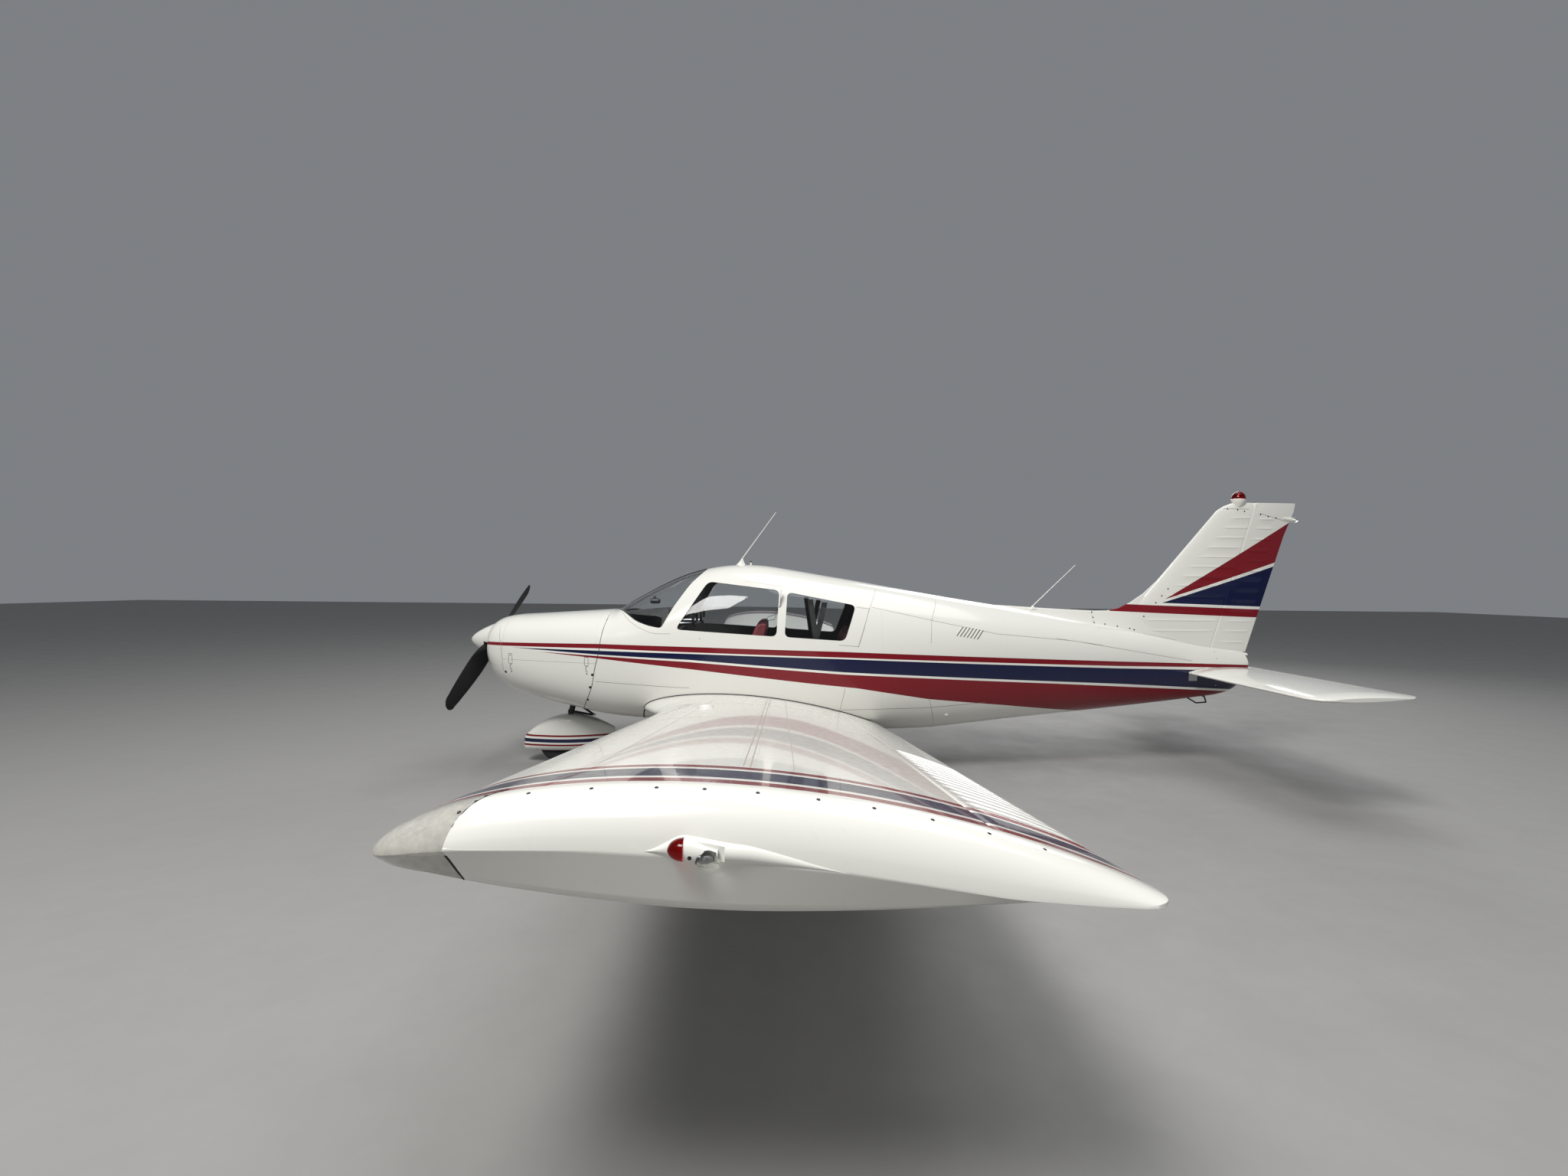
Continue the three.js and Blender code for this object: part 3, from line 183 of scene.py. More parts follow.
# Paint lines along the fuselage, as [station, height] in millimetres.
STRIPE_LINES = {
    "red_top": [(236, 1056), (1222, 1061), (1946, 1048), (3146, 1018), (5479, 929), (6690, 889)],
    "red_bottom": [(236, 1032), (1225, 1026), (1947, 1006), (3146, 973), (5479, 891), (6690, 863)],
    "navy_top": [(506, 1019), (1225, 1008), (1947, 994), (3146, 961), (5479, 872), (6690, 838)],
    "navy_bottom": [(506, 1019), (1226, 978), (1948, 947), (3148, 858), (5489, 742), (6690, 668)],
    "low_top": [(728, 991), (1226, 966), (1948, 930), (3148, 840), (4926, 752), (6690, 650)],
    "low_bottom": [(728, 991), (1227, 948), (1948, 875), (2878, 770), (3271, 730), (3848, 638),
                   (4497, 575), (5167, 500), (6690, 330)],
}
BRIGHT_LINE_START = 620


def frame_x(station):
    return (station - MIDDLE_STATION) / 1000


def gloss_paint(name, pattern=None):
    """White gloss paint. pattern(graph) gives (mask, colour) pairs."""
    graph = Graph(name, Roughness=0.16, Coat_Weight=0.45, Coat_Roughness=0.03, Specular_IOR_Level=0.3)
    cloud, speck = graph.noise(0.9, 4), graph.noise(38, 5, 0.6)
    colour = graph.mix(graph.remap(cloud, 0.3, 0.75, 0, 0.5), CREAM, DULL_CREAM)
    for mask, paint in pattern(graph) if pattern else ():
        colour = graph.mix(mask, colour, paint)
    graph.set("Base Color", graph.mix(graph.remap(speck, 0.62, 0.85, 0, 0.10), colour, DUST))
    graph.set("Normal", graph.bump(graph.noise(7, 2), 0.0006, 0.35))
    graph.set("Roughness", graph.remap(speck, 0.3, 0.8, 0.13, 0.24))
    return graph.material


def fuselage_stripes(graph):
    x, _, z = graph.axes()
    line = {
        key: graph.curve(x, [(frame_x(station), height / 1000) for station, height in points])
        for key, points in STRIPE_LINES.items()
    }
    behind = lambda station: graph.math("GREATER_THAN", x, frame_x(station))
    start = lambda key: behind(STRIPE_LINES[key][0][0])
    band = lambda low, high: graph.both(graph.between(z, line[low], line[high]), start(low))
    return [
        (graph.both(band("navy_top", "red_bottom"), behind(BRIGHT_LINE_START)), BRIGHT),
        (band("low_top", "navy_bottom"), BRIGHT),
        (band("red_bottom", "red_top"), RED),
        (band("navy_bottom", "navy_top"), NAVY),
        (band("low_bottom", "low_top"), RED),
    ]


# Bands across the tail, as the [station, height] ends of their lower and upper edges.
FIN_BANDS = [
    (((5961, 1447), (6902, 1763)), ((5961, 1447), (7019, 2100)), RED),
    (((5933, 1415), (6786, 1390)), ((5933, 1415), (6874, 1724)), NAVY),
    (((5841, 1329), (6752, 1297)), ((5898, 1393), (6772, 1366)), RED),
]
FIN_BANDS_START = 5500


def fin_stripes(graph):
    x, _, z = graph.axes()

    def edge(start, end):
        (x0, z0), (x1, z1) = ((frame_x(station), height / 1000) for station, height in (start, end))
        slope = (z1 - z0) / (x1 - x0)
        return graph.math("MULTIPLY_ADD", x, slope, z0 - slope * x0)

    aft = graph.math("GREATER_THAN", x, frame_x(FIN_BANDS_START))
    inside = lambda low, high: graph.both(graph.between(z, edge(*low), edge(*high)), aft)
    return [(inside(low, high), paint) for low, high, paint in FIN_BANDS]


# Bands across each wing near its tip, as [nearer, farther] millimetres out along the wing.
WING_BANDS = [
    (4253, 4290, RED), (4290, 4315, BRIGHT), (4315, 4425, NAVY), (4425, 4450, BRIGHT), (4450, 4494, RED),
]
DIHEDRAL, WING_PIVOT_Z = math.radians(7), 430


def wing_stripes(graph):
    _, y, z = graph.axes()
    out = graph.math("MULTIPLY", graph.math("ABSOLUTE", y), math.cos(DIHEDRAL))
    up = graph.math("MULTIPLY", graph.math("SUBTRACT", z, WING_PIVOT_Z / 1000), math.sin(DIHEDRAL))
    span = graph.math("ADD", out, up)
    return [(graph.between(span, near / 1000, far / 1000), paint) for near, far, paint in WING_BANDS]


# Bands round each wheel fairing, as [lower, upper] heights.
PANT_BANDS = [(233, 249, RED), (185, 215, NAVY), (154, 170, RED)]


def pant_stripes(graph):
    _, _, z = graph.axes()
    return [(graph.between(z, low / 1000, high / 1000), paint) for low, high, paint in PANT_BANDS]


def plain(name, colour, roughness, metallic=0.0, depth=0.0004, scale=60, shift=0.25, **more):
    """A finish with fine mottling and grain."""
    graph = Graph(name, Metallic=metallic, **more)
    grain = graph.noise(scale, 5, 0.6)
    dark = tuple(c * (1 - shift) for c in colour)
    graph.set("Base Color", graph.mix(graph.remap(grain, 0.3, 0.75), colour, dark))
    graph.set("Roughness", graph.remap(grain, 0.3, 0.7, roughness * 0.85, min(1, roughness * 1.2)))
    if depth:
        graph.set("Normal", graph.bump(grain, depth, 0.5))
    return graph.material


def clear(name, tint, roughness=0.02):
    """A clear pane that lets the lamps' light through."""
    graph = Graph(name, Transmission_Weight=1.0, Roughness=roughness, IOR=1.3)
    smear = graph.noise(3, 3)
    graph.set("Base Color", graph.mix(graph.remap(smear, 0.3, 0.8), tint, tuple(c * 0.94 for c in tint)))
    open_way = graph.node("ShaderNodeBsdfTransparent")
    graph.feed(open_way.inputs[0], tint)
    mixed = graph.node("ShaderNodeMixShader")
    graph.feed(mixed.inputs[0], graph.node("ShaderNodeLightPath").outputs["Is Shadow Ray"])
    graph.feed(mixed.inputs[1], graph.shader.outputs[0])
    graph.feed(mixed.inputs[2], open_way.outputs[0])
    graph.feed(graph.tree.nodes["Material Output"].inputs[0], mixed.outputs[0])
    return graph.material


PAINT_BODY = gloss_paint("paint_fuselage", fuselage_stripes)
PAINT = gloss_paint("paint_white")
PAINT_WING = gloss_paint("paint_wing", wing_stripes)
PAINT_FIN = gloss_paint("paint_fin", fin_stripes)
PAINT_PANT = gloss_paint("paint_wheel_fairings", pant_stripes)
PROP_PAINT = plain("propeller_paint", (0.007, 0.007, 0.008), 0.45, depth=0.0002, Specular_IOR_Level=0.2)
BLACK_PAINT = plain("black_paint", (0.012, 0.012, 0.013), 0.35)
RUBBER = plain("tyre_rubber", (0.018, 0.018, 0.018), 0.75, depth=0.0008, scale=90)
# Black for rubber seals and dark joints; also painted shade in the louvre slots.
SEAL_AND_SLOT_SHADE = plain("black_seal", (0.012, 0.012, 0.012), 0.5)
ALLOY = plain("alloy", (0.55, 0.56, 0.57), 0.35, 1.0)
DARK_STEEL = plain("dark_steel", (0.05, 0.05, 0.055), 0.45, 0.6)
ENGINE = plain("engine_grey", (0.22, 0.22, 0.23), 0.5, 0.7, 0.002)
TRIM = plain("cabin_trim", (0.016, 0.015, 0.016), 0.7, depth=0.0008, scale=140)
LINING = plain("cabin_lining", (0.30, 0.28, 0.24), 0.8, depth=0.0008, scale=180)
SEAT_CLOTH = plain("seat_cloth", (0.13, 0.012, 0.018), 0.75, depth=0.0008, scale=220)
PANE = clear("clear_acrylic", (0.93, 0.95, 0.95))
LENS_CLEAR = clear("clear_lens", (0.95, 0.96, 0.94), 0.04)
CAP_PLASTIC = plain(
    "cap_plastic", (0.78, 0.765, 0.70), 0.18, depth=0.0, Transmission_Weight=0.45, Coat_Weight=0.5,
)
LENS_RED = clear("red_lens", (0.42, 0.004, 0.006), 0.05)
LENS_GREEN = clear("green_lens", (0.01, 0.45, 0.12), 0.05)
SEAM = plain("seam_grey", (0.16, 0.155, 0.14), 0.6)
FAINT = plain("seam_faint", (0.45, 0.43, 0.38), 0.6)

# Mesh helpers


def make(name, points, faces, material, smooth=True):
    """A new object from points in millimetres."""
    mesh = bpy.data.meshes.new(name)
    mesh.from_pydata([tuple(p) for p in metres(points)], [], faces)
    mesh.materials.append(material)
    if smooth:
        mesh.shade_smooth()
    return linked(name, mesh)


def paint_all(piece, *materials):
    piece.data.materials.clear()
    for material in materials:
        piece.data.materials.append(material)


def loft(name, rings, material=PAINT):
    """A closed skin over rings of equally many points."""
    count = len(rings[0])
    points = np.concatenate(rings)
    faces = [
        (r * count + i, r * count + (i + 1) % count, (r + 1) * count + (i + 1) % count, (r + 1) * count + i)
        for r in range(len(rings) - 1)
        for i in range(count)
    ]
    faces.append(tuple(range(count))[::-1])
    faces.append(tuple(range(len(points) - count, len(points))))
    return faced_out(make(name, points, faces, material))


def faced_out(piece):
    """Turns the faces of a closed piece outwards."""
    work = bmesh.new()
    work.from_mesh(piece.data)
    if work.calc_volume(signed=True) < 0:
        bmesh.ops.reverse_faces(work, faces=work.faces)
    work.to_mesh(piece.data)
    work.free()
    return piece


def drop(*objects):
    for old in objects:
        bpy.data.objects.remove(old)


def copy_of(source, name):
    return linked(name, source.data.copy())


def mirrored(source):
    """A copy of a piece of the right side, on the left."""
    copy = copy_of(source, source.name.partition(".")[0].replace("right", "left"))
    copy.data.transform(Matrix.Diagonal((1, -1, 1, 1)))
    copy.data.flip_normals()
    return copy


def apply_modifiers(piece):
    bpy.context.view_layer.update()
    made = bpy.data.meshes.new_from_object(piece.evaluated_get(bpy.context.evaluated_depsgraph_get()))
    old = piece.data
    piece.modifiers.clear()
    piece.data = made
    bpy.data.meshes.remove(old)


def combine(target, tools, operation="DIFFERENCE"):
    """Cuts, joins or intersects target with closed tools, which are used up."""
    for tool in tools:
        modifier = target.modifiers.new("solid", "BOOLEAN")
        modifier.operation = operation
        modifier.solver = "MANIFOLD"
        modifier.object = tool
    apply_modifiers(target)
    drop(*tools)
    if not target.data.polygons:
        raise RuntimeError(f"{target.name} came out empty")


BORROW_REACH, BORROW_TURN = 0.0009, 0.8  # metres, and the cosine between a face and a borrowed normal


def finish_normals(target, skin=None, angle=32):
    """Shades target smooth with sharp edges, and takes a finer skin's normals where target lies on it."""
    mesh = target.data
    mesh.shade_smooth()
    mesh.set_sharp_from_angle(angle=math.radians(angle))
    if skin is None:
        return target
    source = skin.data
    source_normals = [vertex.normal.copy() for vertex in source.vertices]
    tree = BVHTree.FromPolygons([v.co for v in source.vertices], [p.vertices[:] for p in source.polygons])
    borrowed = {}
    for vertex in mesh.vertices:
        place, _, face, _ = tree.find_nearest(vertex.co, BORROW_REACH)
        if place is None:
            continue
        corners = source.polygons[face].vertices
        weights = poly_3d_calc([source.vertices[i].co for i in corners], place)
        total = sum((source_normals[i] * w for i, w in zip(corners, weights)), Vector())
        borrowed[vertex.index] = total.normalized()
    normals = [Vector()] * len(mesh.loops)
    for face in mesh.polygons:
        found = [borrowed.get(i) for i in face.vertices]
        if any(n is None or n.dot(face.normal) < BORROW_TURN for n in found):
            continue
        for loop, normal in zip(face.loop_indices, found):
            normals[loop] = normal
    mesh.normals_split_custom_set(normals)
    return target


def ready(target, *nodes, body="airframe", slot="white_paint"):
    """Puts a finished piece on its body, in the place of nodes."""
    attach(target, body)
    if nodes:
        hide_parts(*nodes)
    return target


def both_sides(piece, *nodes, body="airframe", slot="white_paint", left_slot=None, shared=False):
    """Readies a finished piece of the right side and its copy on the left, and gives the copy.

    The copy stands for the left nodes, and for those on the right too if they are shared.
    """
    other = mirrored(piece)
    ready(piece, *nodes, body=body, slot=slot)
    to_left = lambda name: name.replace("right", "left")
    left_nodes = [*map(to_left, nodes), *(nodes if shared else ())]
    return ready(other, *left_nodes, body=to_left(body), slot=left_slot or slot)


def ring_of(x, y, z):
    """Points of a ring from coordinates, of which some may be single numbers."""
    return np.column_stack(np.broadcast_arrays(x, y, z)).astype(float)


def around(sides, shift=0.0):
    return 2 * np.pi * (np.arange(sides) + shift) / sides


def box(name, x0, x1, y0, y1, z0, z1, material=PAINT):
    points = [(x, y, z) for x in (x0, x1) for y in (y0, y1) for z in (z0, z1)]
    faces = [(0, 1, 3, 2), (4, 6, 7, 5), (0, 4, 5, 1), (2, 3, 7, 6), (0, 2, 6, 4), (1, 5, 7, 3)]
    return make(name, points, faces, material, smooth=False)


def round_ring(centre, axis, radius, sides):
    """Points of a circle about an axis."""
    axis = Vector(axis).normalized()
    side = axis.orthogonal().normalized()
    other = axis.cross(side)
    return np.array([
        Vector(centre) + side * math.cos(a) * radius + other * math.sin(a) * radius for a in around(sides)
    ])


def bar(name, start, end, radius, end_radius=None, sides=32, material=PAINT):
    axis = Vector(end) - Vector(start)
    ends = ((start, radius), (end, radius if end_radius is None else end_radius))
    return loft(name, [round_ring(place, axis, size, sides) for place, size in ends], material)


def ellipsoid(name, centre, radii, segments=32, material=PAINT):
    work = bmesh.new()
    bmesh.ops.create_uvsphere(work, u_segments=segments, v_segments=segments // 2, radius=1)
    mesh = bpy.data.meshes.new(name)
    work.to_mesh(mesh)
    work.free()
    stretch = Matrix.Diagonal((*(r / 1000 for r in radii), 1))
    mesh.transform(Matrix.Translation(Vector(metres(centre))) @ stretch)
    mesh.materials.append(material)
    mesh.shade_smooth()
    return linked(name, mesh)


CORNER_STEPS, SHARPEST_CORNER = 8, 0.5


def rounded_outline(corners, reach_most, inset=0.0):
    """A side-view outline with its corners rounded and moved towards the middle by inset."""
    points = np.array(corners, float)
    away = points.mean(axis=0) - points
    points = points + away / np.linalg.norm(away, axis=1)[:, None] * inset
    outline = []
    for i, corner in enumerate(points):
        to_before, to_after = points[i - 1] - corner, points[(i + 1) % len(points)] - corner
        reach = min(reach_most, np.linalg.norm(to_before) / 2.2, np.linalg.norm(to_after) / 2.2)
        enter = corner + to_before / np.linalg.norm(to_before) * reach
        leave = corner + to_after / np.linalg.norm(to_after) * reach
        if reach < SHARPEST_CORNER:
            outline.append(corner)
            continue
        for t in np.linspace(0, 1, CORNER_STEPS):
            outline.append(enter * (1 - t) ** 2 + 2 * corner * t * (1 - t) + leave * t * t)
    return outline


def side_plate(name, outline, y0, y1, material=PAINT):
    """A prism over a side-view outline."""
    stations, heights = np.array(outline, float).T
    return loft(name, [ring_of(stations, y, heights) for y in (y0, y1)], material)


# Fuselage

# Rows of station, top, bottom, half width, height of the widest line, and squareness above and below it.
BODY = np.array([
    (236, 1150, 905, 180, 1030, 2.1, 2.1), (246, 1184, 838, 262, 1025, 2.2, 2.2),
    (272, 1216, 776, 322, 1015, 2.3, 2.3), (330, 1246, 712, 366, 1000, 2.4, 2.5),
    (430, 1266, 642, 402, 985, 2.5, 2.6), (570, 1275, 592, 432, 970, 2.6, 2.7),
    (760, 1287, 544, 462, 955, 2.7, 2.8), (960, 1300, 500, 490, 940, 2.7, 2.9),
    (1205, 1316, 450, 520, 930, 2.65, 3.0), (1290, 1322, 438, 529, 930, 2.6, 3.0),
    (1380, 1378, 430, 537, 932, 2.35, 3.1), (1474, 1431, 423, 544, 935, 2.2, 3.1),
    (1650, 1527, 414, 553, 940, 2.15, 3.2), (1826, 1608, 404, 558, 945, 2.2, 3.3),
    (2003, 1664, 394, 560, 950, 2.3, 3.4), (2179, 1696, 384, 560, 950, 2.4, 3.4),
    (2356, 1707, 375, 560, 950, 2.45, 3.4), (2533, 1699, 366, 558, 950, 2.45, 3.4),
    (2692, 1676, 358, 555, 950, 2.45, 3.4), (2887, 1645, 350, 548, 950, 2.4, 3.3),
    (3065, 1616, 342, 539, 948, 2.35, 3.2), (3242, 1588, 336, 528, 945, 2.3, 3.1),
    (3470, 1550, 332, 510, 940, 2.25, 3.0), (3864, 1484, 342, 468, 930, 2.2, 2.9),
    (4202, 1430, 376, 428, 920, 2.2, 2.8), (4507, 1384, 410, 386, 910, 2.15, 2.7),
    (4811, 1333, 442, 341, 900, 2.15, 2.6), (5121, 1280, 473, 292, 890, 2.1, 2.5),
    (5503, 1214, 514, 229, 880, 2.1, 2.4), (5855, 1147, 554, 170, 868, 2.1, 2.3),
    (6207, 1078, 598, 116, 858, 2.0, 2.2), (6482, 1030, 642, 78, 856, 2.0, 2.1),
    (6620, 1006, 720, 60, 868, 2.0, 2.0), (6690, 990, 838, 46, 910, 2.0, 2.0),
])
COWL_BACK, CABIN_BACK, CONE_BACK = 1205, 3470, 6690


def body_at(stations):
    """The section's numbers on a smooth curve through the table's rows."""
    stations = np.atleast_1d(np.asarray(stations, float))
    last = len(BODY) - 1
    i = np.clip(np.searchsorted(BODY[:, 0], stations), 1, last)
    a, b, c, d = (BODY[np.clip(i + k, 0, last)] for k in (-2, -1, 0, 1))
    span = (c - b)[:, :1]
    t = (stations[:, None] - b[:, :1]) / span
    before = (c - a) / (c - a)[:, :1]
    after = (d - b) / (d - b)[:, :1]
    curve = b * (2 * t**3 - 3 * t**2 + 1) + c * (3 * t**2 - 2 * t**3)
    curve = curve + span * (before * (t**3 - 2 * t**2 + t) + after * (t**3 - t**2))
    curve[:, 0] = stations
    return curve


def section(row, sides, inset=0.0):
    """A ring of evenly spaced points round one section, starting on the right at the widest line."""
    station, top, bottom, half, waist, upper, lower = row
    angle = np.linspace(0, math.pi, 601)
    halves = []
    for height, power in ((top - waist, upper), (bottom - waist, lower)):
        across = np.sign(np.cos(angle)) * np.abs(np.cos(angle)) ** (2 / power) * (half - inset)
        rise = np.sin(angle) ** (2 / power) * (height - math.copysign(inset, height))
        length = np.concatenate([[0], np.cumsum(np.hypot(np.diff(across), np.diff(rise)))])
        at = np.linspace(0, length[-1], sides // 2 + 1)
        halves.append((np.interp(at, length, across), np.interp(at, length, rise)))
    (y_up, z_up), (y_low, z_low) = halves
    y = np.concatenate([y_up, y_low[::-1][1:-1]])
    z = np.concatenate([z_up, z_low[::-1][1:-1]]) + waist
    return ring_of(station, y, z)


def body_solid(name, start, end, inset=0.0, step=24, sides=112, material=PAINT_BODY):
    even = {round(float(s), 2) for s in np.arange(start, end, step) if s < end - step * 0.4}
    stations = sorted(even | {end})
    return loft(name, [section(row, sides, inset) for row in body_at(stations)], material)


def skin_y(station, z):
    """How far the skin stands out from the centre line."""
    _, top, bottom, half, waist, upper, lower = body_at(station)[0]
    if z >= waist:
        share, power = (z - waist) / (top - waist), upper
    else:
        share, power = (waist - z) / (waist - bottom), lower
    return half * max(0.0, 1 - abs(share) ** power) ** (1 / power)


WALL, COWL_WALL, PANE_THICK, SEAT_GAP = 30, 10, 6, 0.3
SEAM_STATION, SEAM_FRONT_Z, SEAM_BACK_Z = 425, 924, 906
INLET_Y, INLET_Z, THRUST_Z, LAMP_Z, LAMP_RADIUS = 215, 1040, 1047, 800, 78
OIL_DOOR_ROOM = (800, 940, 150, 330)
OIL_DOOR_GAP = 2
INLET_SIZE = (120, 105, 62)


def build_cowl():
    stations = [236, 238, 241, 246, 252, 260, 272, 285, 300, 315, 330, 352, 376, 402, 430]
    stations += list(range(456, 1200, 26)) + [COWL_BACK]
    outer = loft("cowl_skin", [section(row, 112) for row in body_at(stations)], PAINT_BODY)
    bottom = copy_of(outer, "cowl_bottom_skin")
    inner_stations = [262, 290, 330, 430, 570, 760, 960, 1215]
    combine(bottom, [loft("inner", [section(row, 64, COWL_WALL) for row in body_at(inner_stations)])])

    def above_seam(ahead, lower):
        front, back = SEAM_STATION - ahead, COWL_BACK + 20
        outline = [(front, 1500), (front, SEAM_FRONT_Z - lower), (back, SEAM_BACK_Z - lower), (back, 1500)]
        return side_plate("cutter", outline, -700, 700)

    def door_room(inset):
        x0, x1, y0, y1 = OIL_DOOR_ROOM
        return box("cutter", x0 + inset, x1 - inset, y0 + inset, y1 - inset, 1100, 1400)

    top = copy_of(bottom, "cowl_top_skin")
    combine(top, [above_seam(0, 0)], "INTERSECT")
    door = copy_of(top, "oil_door_skin")
    combine(door, [door_room(OIL_DOOR_GAP)], "INTERSECT")
    combine(top, [door_room(0)])
    combine(bottom, [
        above_seam(1, 1.5),
        bar("cutter", (200, 0, THRUST_Z), (300, 0, THRUST_Z), 90, sides=64),
        ellipsoid("cutter", (250, INLET_Y, INLET_Z), INLET_SIZE, 48),
        ellipsoid("cutter", (250, -INLET_Y, INLET_Z), INLET_SIZE, 48),
        bar("cutter", (200, 0, LAMP_Z), (350, 0, LAMP_Z), LAMP_RADIUS, sides=64),
        box("cutter", 780, 960, -60, 60, 380, 600),
        box("cutter", 985, 1140, -190, 190, 380, 640),
    ])
    ready(finish_normals(top, outer), "cowl_top")
    ready(finish_normals(bottom, outer), "cowl_bottom")
    ready(finish_normals(door, outer), "oil_door", body="oil_door")
    drop(outer)


SCREEN = [(1285, 1460), (1285, 1319), (1362, 1322), (1429, 1288), (1511, 1239), (1610, 1207),
          (1717, 1188), (1806, 1357), (1925, 1540), (2042, 1668), (2042, 1760), (1700, 1760)]
FRONT_WINDOW = [(2072, 1562), (2648, 1496), (2628, 1133), (1832, 1181)]
REAR_WINDOW = [(2712, 1483), (3262, 1380), (3168, 1101), (2692, 1131)]
DOOR = [(1792, 815), (1792, 1215), (2040, 1606), (2682, 1540), (2664, 815)]
SCREEN_POST, CORNER, DOOR_CORNER, DOOR_GAP, ROOF_LINING_Z = 13, 45, 60, 4, 1590


def side_hole(corners, side, near, rounding, inset=0.0):
    """A cutter through one side's skin, from near the centre line outwards."""
    ends = (near, 700) if side == RIGHT else (-700, -near)
    return side_plate("cutter", rounded_outline(corners, rounding, inset), *ends)


def screen_hole(side, inset=0.0):
    return side_hole(SCREEN, side, SCREEN_POST + inset, 30, inset)


def window_hole(corners, side, inset=0.0):
    return side_hole(corners, side, 150, CORNER, inset)


def build_cabin():
    outer = body_solid("cabin_skin", COWL_BACK + SEAT_GAP, CABIN_BACK, step=22, sides=128)
    tube = copy_of(outer, "cabin_shell_skin")
    combine(tube, [body_solid("inner", COWL_BACK - 10, CABIN_BACK - 25, WALL, 45, 96, LINING)])
    door = copy_of(tube, "cabin_door_skin")
    combine(door, [side_hole(DOOR, RIGHT, 150, DOOR_CORNER, DOOR_GAP)], "INTERSECT")
    combine(door, [window_hole(FRONT_WINDOW, RIGHT)])
    combine(tube, [
        screen_hole(RIGHT), screen_hole(LEFT), window_hole(FRONT_WINDOW, LEFT),
        window_hole(REAR_WINDOW, RIGHT), window_hole(REAR_WINDOW, LEFT),
        side_hole(DOOR, RIGHT, 150, DOOR_CORNER),
    ])
    for piece, body, node in ((tube, "airframe", "cabin_shell"), (door, "cabin_door", "cabin_door")):
        line_inside(piece)
        ready(finish_normals(piece, outer), node, body=body)
    build_panes()
    drop(outer)


def line_inside(piece):
    """Gives the faces that look into the cabin the materials of its lining and its trim."""
    paint_all(piece, PAINT_BODY, LINING, TRIM)
    for face in piece.data.polygons:
        x, y, z = face.center * 1000
        skin = skin_y(x + MIDDLE_STATION, z)
        inside = abs(y) < skin - 6 if skin > 120 else z < body_at(x + MIDDLE_STATION)[0][1] - 20
        if inside:
            face.material_index = 1 if z > ROOF_LINING_Z else 2


PANE_DEPTH, PANE_GAP = 4, 0.5


def build_panes():
    film = body_solid("film", COWL_BACK + 30, CABIN_BACK - 30, PANE_DEPTH, 22, 128, PANE)
    combine(film, [body_solid("cutter", COWL_BACK, CABIN_BACK, PANE_DEPTH + PANE_THICK, 22, 128, PANE)])
    holes = {
        "windscreen_right": screen_hole(RIGHT, PANE_GAP),
        "windscreen_left": screen_hole(LEFT, PANE_GAP),
        "window_front_left": window_hole(FRONT_WINDOW, LEFT, PANE_GAP),
        "door_window": window_hole(FRONT_WINDOW, RIGHT, PANE_GAP),
        "window_rear_right": window_hole(REAR_WINDOW, RIGHT, PANE_GAP),
        "window_rear_left": window_hole(REAR_WINDOW, LEFT, PANE_GAP),
    }
    for node, hole in holes.items():
        pane = copy_of(film, node + "_pane")
        combine(pane, [hole], "INTERSECT")
        body = "cabin_door" if node == "door_window" else "airframe"
        ready(finish_normals(pane), node, body=body, slot="glazing")
    drop(film)


STABILATOR_PIVOT, STABILATOR_Z, TAB_SWEEP = 6300, 832, 388


def cross_bar(station, z, reach, radius, sides=32):
    """A round bar across the aircraft, reaching equally far on both sides."""
    return bar("cutter", (station, -reach, z), (station, reach, z), radius, sides=sides)


def build_tailcone():
    outer = body_solid("cone_skin", CABIN_BACK + SEAT_GAP, CONE_BACK, step=36, sides=112)
    cone = copy_of(outer, "tailcone_skin")
    inner = body_solid("cutter", CABIN_BACK - 10, 6120, 20, 120, 48)
    sweep = box("sweep", 6600, 6800, -200, 200, 700, 972)
    combine(sweep, [cross_bar(STABILATOR_PIVOT, STABILATOR_Z, 250, TAB_SWEEP, 128)])
    combine(cone, [inner, sweep])
    ready(finish_normals(cone, outer), "tailcone")
    drop(outer)


# Small shapes made of many rings or copies


def along_route(route):
    """Each place of a route of points, with the direction of the route there."""
    route = [Vector(p) for p in route]
    last = len(route) - 1
    for i, place in enumerate(route):
        yield place, (route[min(i + 1, last)] - route[max(i - 1, 0)]).normalized()


def tube(name, route, radius, sides=12, material=SEAL_AND_SLOT_SHADE):
    """A round tube along a route of points, with radius a number or one for each point."""
    rings, side = [], None
    for (place, ahead), size in zip(along_route(route), np.broadcast_to(radius, len(route))):
        side = ahead.orthogonal() if side is None else side - ahead * side.dot(ahead)
        side = side.normalized()
        other = ahead.cross(side)
        outs = [side * math.cos(a) + other * math.sin(a) for a in around(sides)]
        rings.append(np.array([place + out * size for out in outs]))
    return loft(name, rings, material)


def joined(name, pieces):
    """One object from several, with each face keeping its material."""
    work = bmesh.new()
    materials = []
    for piece in pieces:
        start = len(work.faces)
        work.from_mesh(piece.data)
        work.faces.ensure_lookup_table()
        for face in work.faces[start:]:
            material = piece.data.materials[face.material_index]
            if material not in materials:
                materials.append(material)
            face.material_index = materials.index(material)
    mesh = bpy.data.meshes.new(name)
    for material in materials:
        mesh.materials.append(material)
    work.to_mesh(mesh)
    work.free()
    drop(*pieces)
    return finish_normals(linked(name, mesh), None, 35)


def turned(name, centre, axis, profile, sides=32, material=ALLOY):
    """A solid of revolution. The profile holds [distance along the axis, radius] pairs."""
    axis = Vector(axis).normalized()
    return loft(name, [
        round_ring(Vector(centre) + axis * along, axis, max(radius, 0.05), sides) for along, radius in profile
    ], material)


